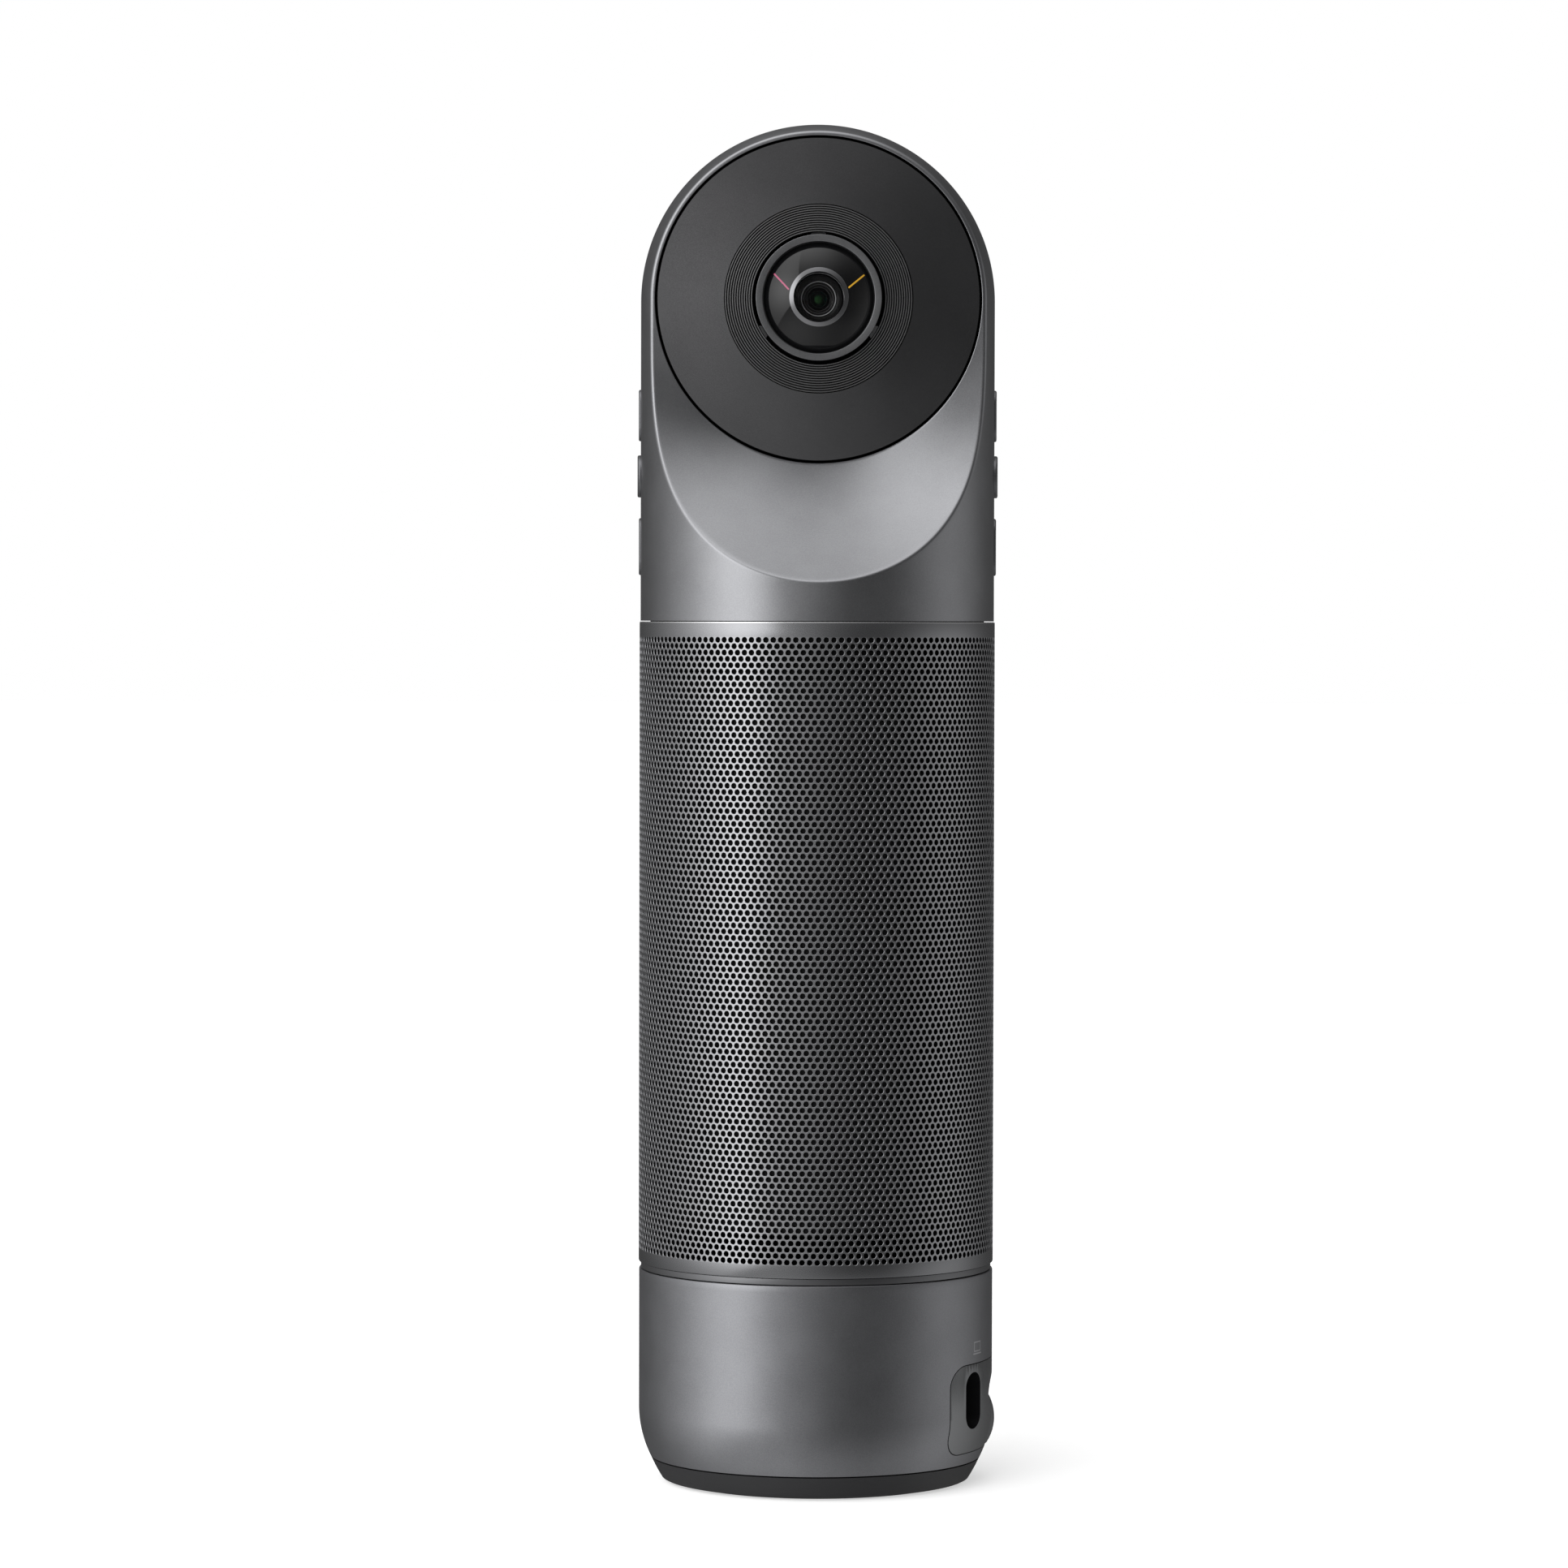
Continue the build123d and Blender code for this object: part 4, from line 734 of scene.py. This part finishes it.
ring_black = rib_shade()
tread = (ring_outer - ring_inner) / ring_steps
step_share = np.array([0.0, 0.24, 0.38, 0.54, 0.68, 0.92])
step_lift = np.array([-0.30, 0.12, 0.20, 0.20, 0.12, -0.30])
number = np.arange(ring_steps)[:, None]
rib_radius = ring_outer - (number + step_share) * tread
rib_rise = (number + step_share) * (ring_rise - panel_rise) / ring_steps
rib_level = face_depth + panel_rise + rib_rise + step_lift - 0.2
stairs = np.stack([rib_radius, rib_level], -1).reshape(-1, 2)
ring_back = np.array([(ring_inner, face_depth + ring_rise - 0.1), (ring_inner, face_depth + ring_rise - 1.3),
                      (18.6, 11.5), (18.6, 10.6), (21.5, 10.6), (21.5, 11.5), (ring_outer, 11.5)])
for end in ("front", "rear"):
    skin(f"{end}_ribbed_cone", *about_lens(turned(np.concatenate([stairs, ring_back])), end == "rear"),
         ring_black, "lens_black", [f"{end}_ribbed_ring"], crease=25)


# ---- Barrels, bezels and glass -----------------------------------------------------------------
# Each lens has a black barrel with a wide mouth, a turned grey bezel that screws on it and holds the
# dome down, and a bright ring round the inner glass. The dome is glass, backed black but for its middle.
bezel_metal = blasted_metal("bezel_metal", (0.27, 0.272, 0.28), 0.34, 4.0, 0.001)
ring_steel = blasted_metal("ring_steel", (0.40, 0.40, 0.41), 0.24, 3.0, 0.0)


def dome_shade():
    """Coated glass. It is clear in its middle, then silvered in a ring, and backed with black outside that,
    where two fine lines are painted as painted reflections, pink to the left and yellow to the right: each is
    a box along a sloping line, seen by how far a point is along it and off it."""
    glass = Finish("dome_glass", Specular_IOR_Level=0.5)
    x, y, z = glass.split()
    x, z = x * (glass.sum("SIGN", y, 0) * -1), z - lens_height
    reach = distance(x, z)
    backed = glass.between(reach, 5.30, 5.36)
    silver = backed * (1 - glass.between(reach, 6.18, 6.24))
    coat = glass.blend(glass.grain(6.0, 2), (0.0025, 0.0025, 0.0028), (0.0040, 0.0040, 0.0043))
    # Painted reflections: a pink and a yellow line in the glass.
    for (x1, z1), (x2, z2), painted_light_colour in (((-9.45, 5.0), (-6.3, 1.5), (0.36, 0.07, 0.14)),
                                      ((9.6, 4.8), (6.2, 1.9), (0.62, 0.34, 0.03))):
        length = math.hypot(x2 - x1, z2 - z1)
        ux, uz = (x2 - x1) / length, (z2 - z1) / length
        along = (x - x1) * ux + (z - z1) * uz
        off = abs((x - x1) * -uz + (z - z1) * ux)
        line = (1 - glass.between(off, 0.14, 0.20)) * glass.between(along, 0, 0.06)
        line = line * (1 - glass.between(along, length - 0.06, length))
        coat = glass.blend(line, coat, painted_light_colour)
    return glass.feed(Base_Color=glass.blend(silver, coat, (0.30, 0.30, 0.31)), Metallic=silver,
                      Alpha=0.08 + backed * 0.92, Roughness=0.02 + silver * 0.22)


def inner_shade(name, level, film, rings):
    """Gloss black, with fine rings round the lens painted paler as painted highlights: each is a band of
    radii.
    """
    black = Finish(name, Specular_IOR_Level=level, Thin_Film_Thickness=film, Thin_Film_IOR=1.38)
    x, _, z = black.split()
    reach = distance(x, z - lens_height)
    drift = black.grain(4.0, 2)
    coat = black.blend(drift, (0.003, 0.003, 0.0032), (0.005, 0.005, 0.0053))
    # Painted highlights: the paler rings.
    for middle, half, painted_light_colour in rings:
        band = 1 - black.between(abs(reach - middle), half, half + 0.05)
        coat = black.blend(band, coat, (painted_light_colour, painted_light_colour, painted_light_colour * 1.03))
    return black.feed(Base_Color=coat, Roughness=0.10 + drift * 0.1)


barrel_black = moulded("barrel_black", (0.006, 0.006, 0.0064), 0.6, spot=8.0, depth=0.0,
                       Specular_IOR_Level=0.1)
# The mount's rings of painted highlight, as radius, half width and colour.
mount_highlight_rings = (3.62, 0.07, 0.42), (3.05, 0.03, 0.10), (2.5, 0.03, 0.07)
mount_black = inner_shade("mount_black", 0.2, 0.0, mount_highlight_rings)
dome_glass = dome_shade()
# The inner glass gets one faint ring of painted highlight.
inner_glass = inner_shade("inner_glass", 1.0, 384.0, ((1.75, 0.02, 0.02),))
barrel_outline = eased(
    [(3.9, 3.5), (12.5, 3.5), (12.5, 8.9), (16.0, 8.9), (16.0, 10.3), (12.5, 10.3), (12.5, 18.0),
     (11.2, 18.0), (6.3, 16.2), (6.3, 14.7), (5.1, 14.7), (5.1, 11.5), (3.9, 11.5)], 0.06)
bezel_outline = eased(
    [(12.6, 14.0), (13.25, 14.0), (13.25, 20.2), (11.85, 20.15), (11.7, 19.9), (11.7, 18.95),
     (12.6, 18.9)], 0.10)
inner_ring_outline = eased([(5.3, 14.7), (6.2, 14.7), (6.2, 15.82), (5.42, 16.2), (5.3, 16.15)], 0.06)
# The stepped black mount round the inner glass, which reads as fine rings.
mount_outline = eased(
    [(5.0, 11.5), (5.0, 14.95), (4.3, 14.85), (3.75, 14.6), (3.70, 14.85), (3.55, 14.85), (3.50, 14.2),
     (3.15, 14.1), (3.10, 14.25), (3.0, 14.25), (2.95, 13.7), (2.6, 13.6), (2.55, 13.75), (2.45, 13.75),
     (2.4, 13.2), (2.4, 11.5)], 0.03)


def dome_outline():
    """A shell of glass: outer and inner arcs about the same centre, c + R cos a, on a flat flange."""
    edge, rise, lip, seat, wall = 11.6, 4.6, 18.9, 18.0, 1.6
    sphere = (edge**2 + rise**2) / (2 * rise)
    middle = lip + rise - sphere
    outer_turn = np.linspace(0, math.asin(edge / sphere), 40)
    inner = sphere - wall
    inner_turn = np.linspace(math.acos((seat - middle) / inner), 0, 40)
    outer = np.stack([sphere * np.sin(outer_turn), middle + sphere * np.cos(outer_turn)], -1)
    hollow = np.stack([inner * np.sin(inner_turn), middle + inner * np.cos(inner_turn)], -1)
    return np.concatenate([outer, [(12.3, lip), (12.3, seat)], hollow])


def inner_lens_outline():
    edge, rise, front, back = 2.38, 0.9, 12.6, 11.6
    sphere = (edge**2 + rise**2) / (2 * rise)
    turn = np.linspace(0, math.asin(edge / sphere), 24)
    crown = np.stack([sphere * np.sin(turn), front + rise - sphere + sphere * np.cos(turn)], -1)
    return np.concatenate([crown, [(edge, back), (0.0, back)]])


for end in ("front", "rear"):
    rear = end == "rear"
    skin(f"{end}_barrel_tube", *about_lens(turned(barrel_outline, 240), rear), barrel_black, "lens_black",
         [f"{end}_lens_barrel"])
    skin(f"{end}_bezel_ring", *about_lens(turned(bezel_outline), rear), bezel_metal, "bezel",
         [f"{end}_lens_bezel"])
    skin(f"{end}_inner_bright_ring", *about_lens(turned(inner_ring_outline, 240), rear), ring_steel,
         "steel", [f"{end}_inner_ring"])
    skin(f"{end}_inner_mount", *about_lens(turned(mount_outline, 180), rear), mount_black,
         "glass", [f"{end}_inner_lens"], crease=20)
    skin(f"{end}_inner_glass", *about_lens(turned(inner_lens_outline(), 180), rear), inner_glass,
         "glass", [f"{end}_inner_lens"])
    skin(f"{end}_dome_glass", *about_lens(turned(dome_outline(), 240), rear), dome_glass,
         "glass", [f"{end}_dome_lens"])


# ---- What is inside ----------------------------------------------------------------------------
# Behind the skins are moulded frames, green boards, pressed cones, a magnet and plated screws. They
# keep their own shapes and only get their finishes here, since almost none of them shows.
plain_black = moulded("plain_black", (0.03, 0.03, 0.03), 0.5)
hidden_black = moulded("hidden_black", (0.004, 0.004, 0.004), 0.7, Specular_IOR_Level=0.1)
cloth = Finish("liner_cloth", Roughness=0.9)
warp = cloth.grain(0.35, 1, (1, 1, 0.3))
weft = cloth.grain(0.35, 1, (0.3, 0.3, 1))
cloth_black = cloth.feed(Base_Color=cloth.blend(warp * weft, (0.002, 0.002, 0.002), (0.014, 0.014, 0.015)),
                         Normal=cloth.bump(warp * weft, 0.05))
board_green = moulded("board_green", (0.02, 0.09, 0.05), 0.4)
cone_paper = moulded("cone_paper", (0.035, 0.034, 0.033), 0.75, spot=0.8, depth=0.03)
plated = blasted_metal("plated", (0.45, 0.45, 0.46), 0.3, 4.0)
copper = blasted_metal("copper", (0.62, 0.34, 0.16), 0.35, 4.0)
inside = {
    "acoustic_liner": cloth_black, "voice_coil": copper, "driver_magnet": plated, "radiator_plate": plated,
    "heat_spreader": plated, "tripod_insert": plated, "driver_surround": rubber, "radiator_surround": rubber,
    "driver_cone": cone_paper, "driver_dust_cap": cone_paper, "neck_ring": hidden_black,
}
for name, node in frame["nodes"].items():
    if node.hide_render:
        continue
    usual = plated if "screws" in name else board_green if "board" in name else plain_black
    material = inside.get(name, usual)
    node.data.materials.clear()
    node.data.materials.append(material)


# ---- Floor, light and camera -------------------------------------------------------------------
# A plain pale floor that runs out of sight, in a studio with one large soft light on the left, a
# weaker one on the right, and an even glow from above. The backdrop behind the camera is white.
floor_mesh = bpy.data.meshes.new("floor")
turn = np.linspace(0, 2 * np.pi, 96, endpoint=False)
floor_points = np.stack([12 * np.cos(turn), 12 * np.sin(turn), 0 * turn], -1)
floor_mesh.from_pydata(floor_points.tolist(), [], [list(range(96))])
floor = bpy.data.objects.new("floor", floor_mesh)
bpy.context.scene.collection.objects.link(floor)
floor.visible_glossy = False
pale = Finish("pale_floor", Roughness=1.0, Specular_IOR_Level=0.0)
ray = pale.node("ShaderNodeLightPath", output="Is Camera Ray")
seen = ray.max(ray.sibling("Is Transmission Ray"))
pale.feed(Base_Color=pale.blend(pale.grain(40.0, 2), (0.78, 0.78, 0.78), (0.80, 0.80, 0.80)))
glow = pale.node("ShaderNodeEmission", {}, {"Color": (1, 1, 1, 1), "Strength": seen * 0.55})
both = pale.node("ShaderNodeAddShader", {}, {0: Value(pale, pale.shader.outputs[0]), 1: glow})
pale.tree.links.new(both.socket, pale.tree.nodes["Material Output"].inputs["Surface"])
floor_mesh.materials.append(pale.material)

world = bpy.data.worlds.new("studio")
bpy.context.scene.world = world
world.use_nodes = True
sky = Wiring(world.node_tree)
way = sky.node("ShaderNodeTexCoord", output="Generated")
aside = sky.node("ShaderNodeSeparateXYZ", {}, {0: way}, output="X")
height = aside.sibling("Z")


def toward(middle):
    """How nearly a way in the studio points to a middle, d.k."""
    return sky.node("ShaderNodeVectorMath", {"operation": "DOT_PRODUCT"}, {0: way, 1: middle}, output="Value")


def soft_patch(around, above, power, spread):
    """Light from one side of the studio, power * e^(spread (d.k - 1)). Its middle k is given by two
    angles: round from the camera's own side towards the right, and up."""
    turn, lift = math.radians(around), math.radians(above)
    middle = (math.sin(turn) * math.cos(lift), -math.cos(turn) * math.cos(lift), math.sin(lift))
    return power * sky.sum("EXPONENT", (toward(middle) - 1) * spread, 0)


def cut_edge(middle, softness=0.015):
    """1 on one side of a straight edge in the studio, and 0 on the other."""
    return sky.between(toward(middle), -softness, softness)


left_light = (soft_patch(-57, 15, 1.30, 4.4) + soft_patch(-50, 12, 0.85, 14.0)) \
    * cut_edge((-0.89, 0.396, -0.224)) * cut_edge((-0.58, 0.361, 0.731))
low_light = soft_patch(-45, -45, 0.42, 5.0) + sky.between(0 - height, 0.2, 0.7) * 0.16
right_light = soft_patch(94, -14, 0.50, 7.0) + soft_patch(-22, 4, 0.32, 9.0) + soft_patch(-112, 0, 0.14, 8.0)
above_light = (soft_patch(-75, 60, 0.50, 6.0) + soft_patch(-45, 80, 1.08, 6.0)
               + sky.between(height, 0.45, 0.85) * 0.18) * (1 - sky.between(aside, 0.1, 0.75) * 0.5)
studio = 0.07 + left_light + low_light + right_light + above_light
sky_ray = sky.node("ShaderNodeLightPath", output="Is Camera Ray")
mirrored = sky_ray.sibling("Is Glossy Ray").max(sky_ray.sibling("Is Transmission Ray"))
white = sky_ray.max(mirrored * sky.between(aside.sibling("Y"), 0.990, 0.997))
strength = white + (1 - white) * studio
background = world.node_tree.nodes["Background"]
background.inputs["Color"].default_value = (1, 1, 1, 1)
world.node_tree.links.new(strength.socket, background.inputs["Strength"])


def soft_light(name, place, target, width, height, watts, colour=(1, 1, 1)):
    """A rectangular soft box that faces a point."""
    lamp = bpy.data.lights.new(name, "AREA")
    lamp.shape, lamp.size, lamp.size_y, lamp.energy, lamp.color = "RECTANGLE", width, height, watts, colour
    box = bpy.data.objects.new(name, lamp)
    box.location = place
    box.rotation_mode = "QUATERNION"
    box.rotation_quaternion = (Vector(target) - Vector(place)).to_track_quat("-Z", "Y")
    bpy.context.scene.collection.objects.link(box)
    return box


fill = soft_light("front_fill", (-0.5, -1.3, 0.5), (0, 0, 0.13), 0.8, 0.8, 11.0)
fill.visible_glossy = fill.visible_transmission = False

camera = bpy.data.cameras.new("camera")
camera.sensor_width, camera.lens = 36.0, 133.36
camera.clip_start, camera.clip_end = 0.05, 50.0
eye = bpy.data.objects.new("camera", camera)
bpy.context.scene.collection.objects.link(eye)
eye.location = (-0.011, -1.244, 0.184)
yaw, pitch, roll = math.radians(0.183), math.radians(-1.6), math.radians(0.13)
look = Vector((math.sin(yaw) * math.cos(pitch), math.cos(yaw) * math.cos(pitch), math.sin(pitch)))
eye.rotation_mode = "QUATERNION"
eye.rotation_quaternion = look.to_track_quat("-Z", "Y") @ Matrix.Rotation(roll, 3, "Z").to_quaternion()
bpy.context.scene.camera = eye
bpy.context.scene.view_settings.view_transform = "Standard"
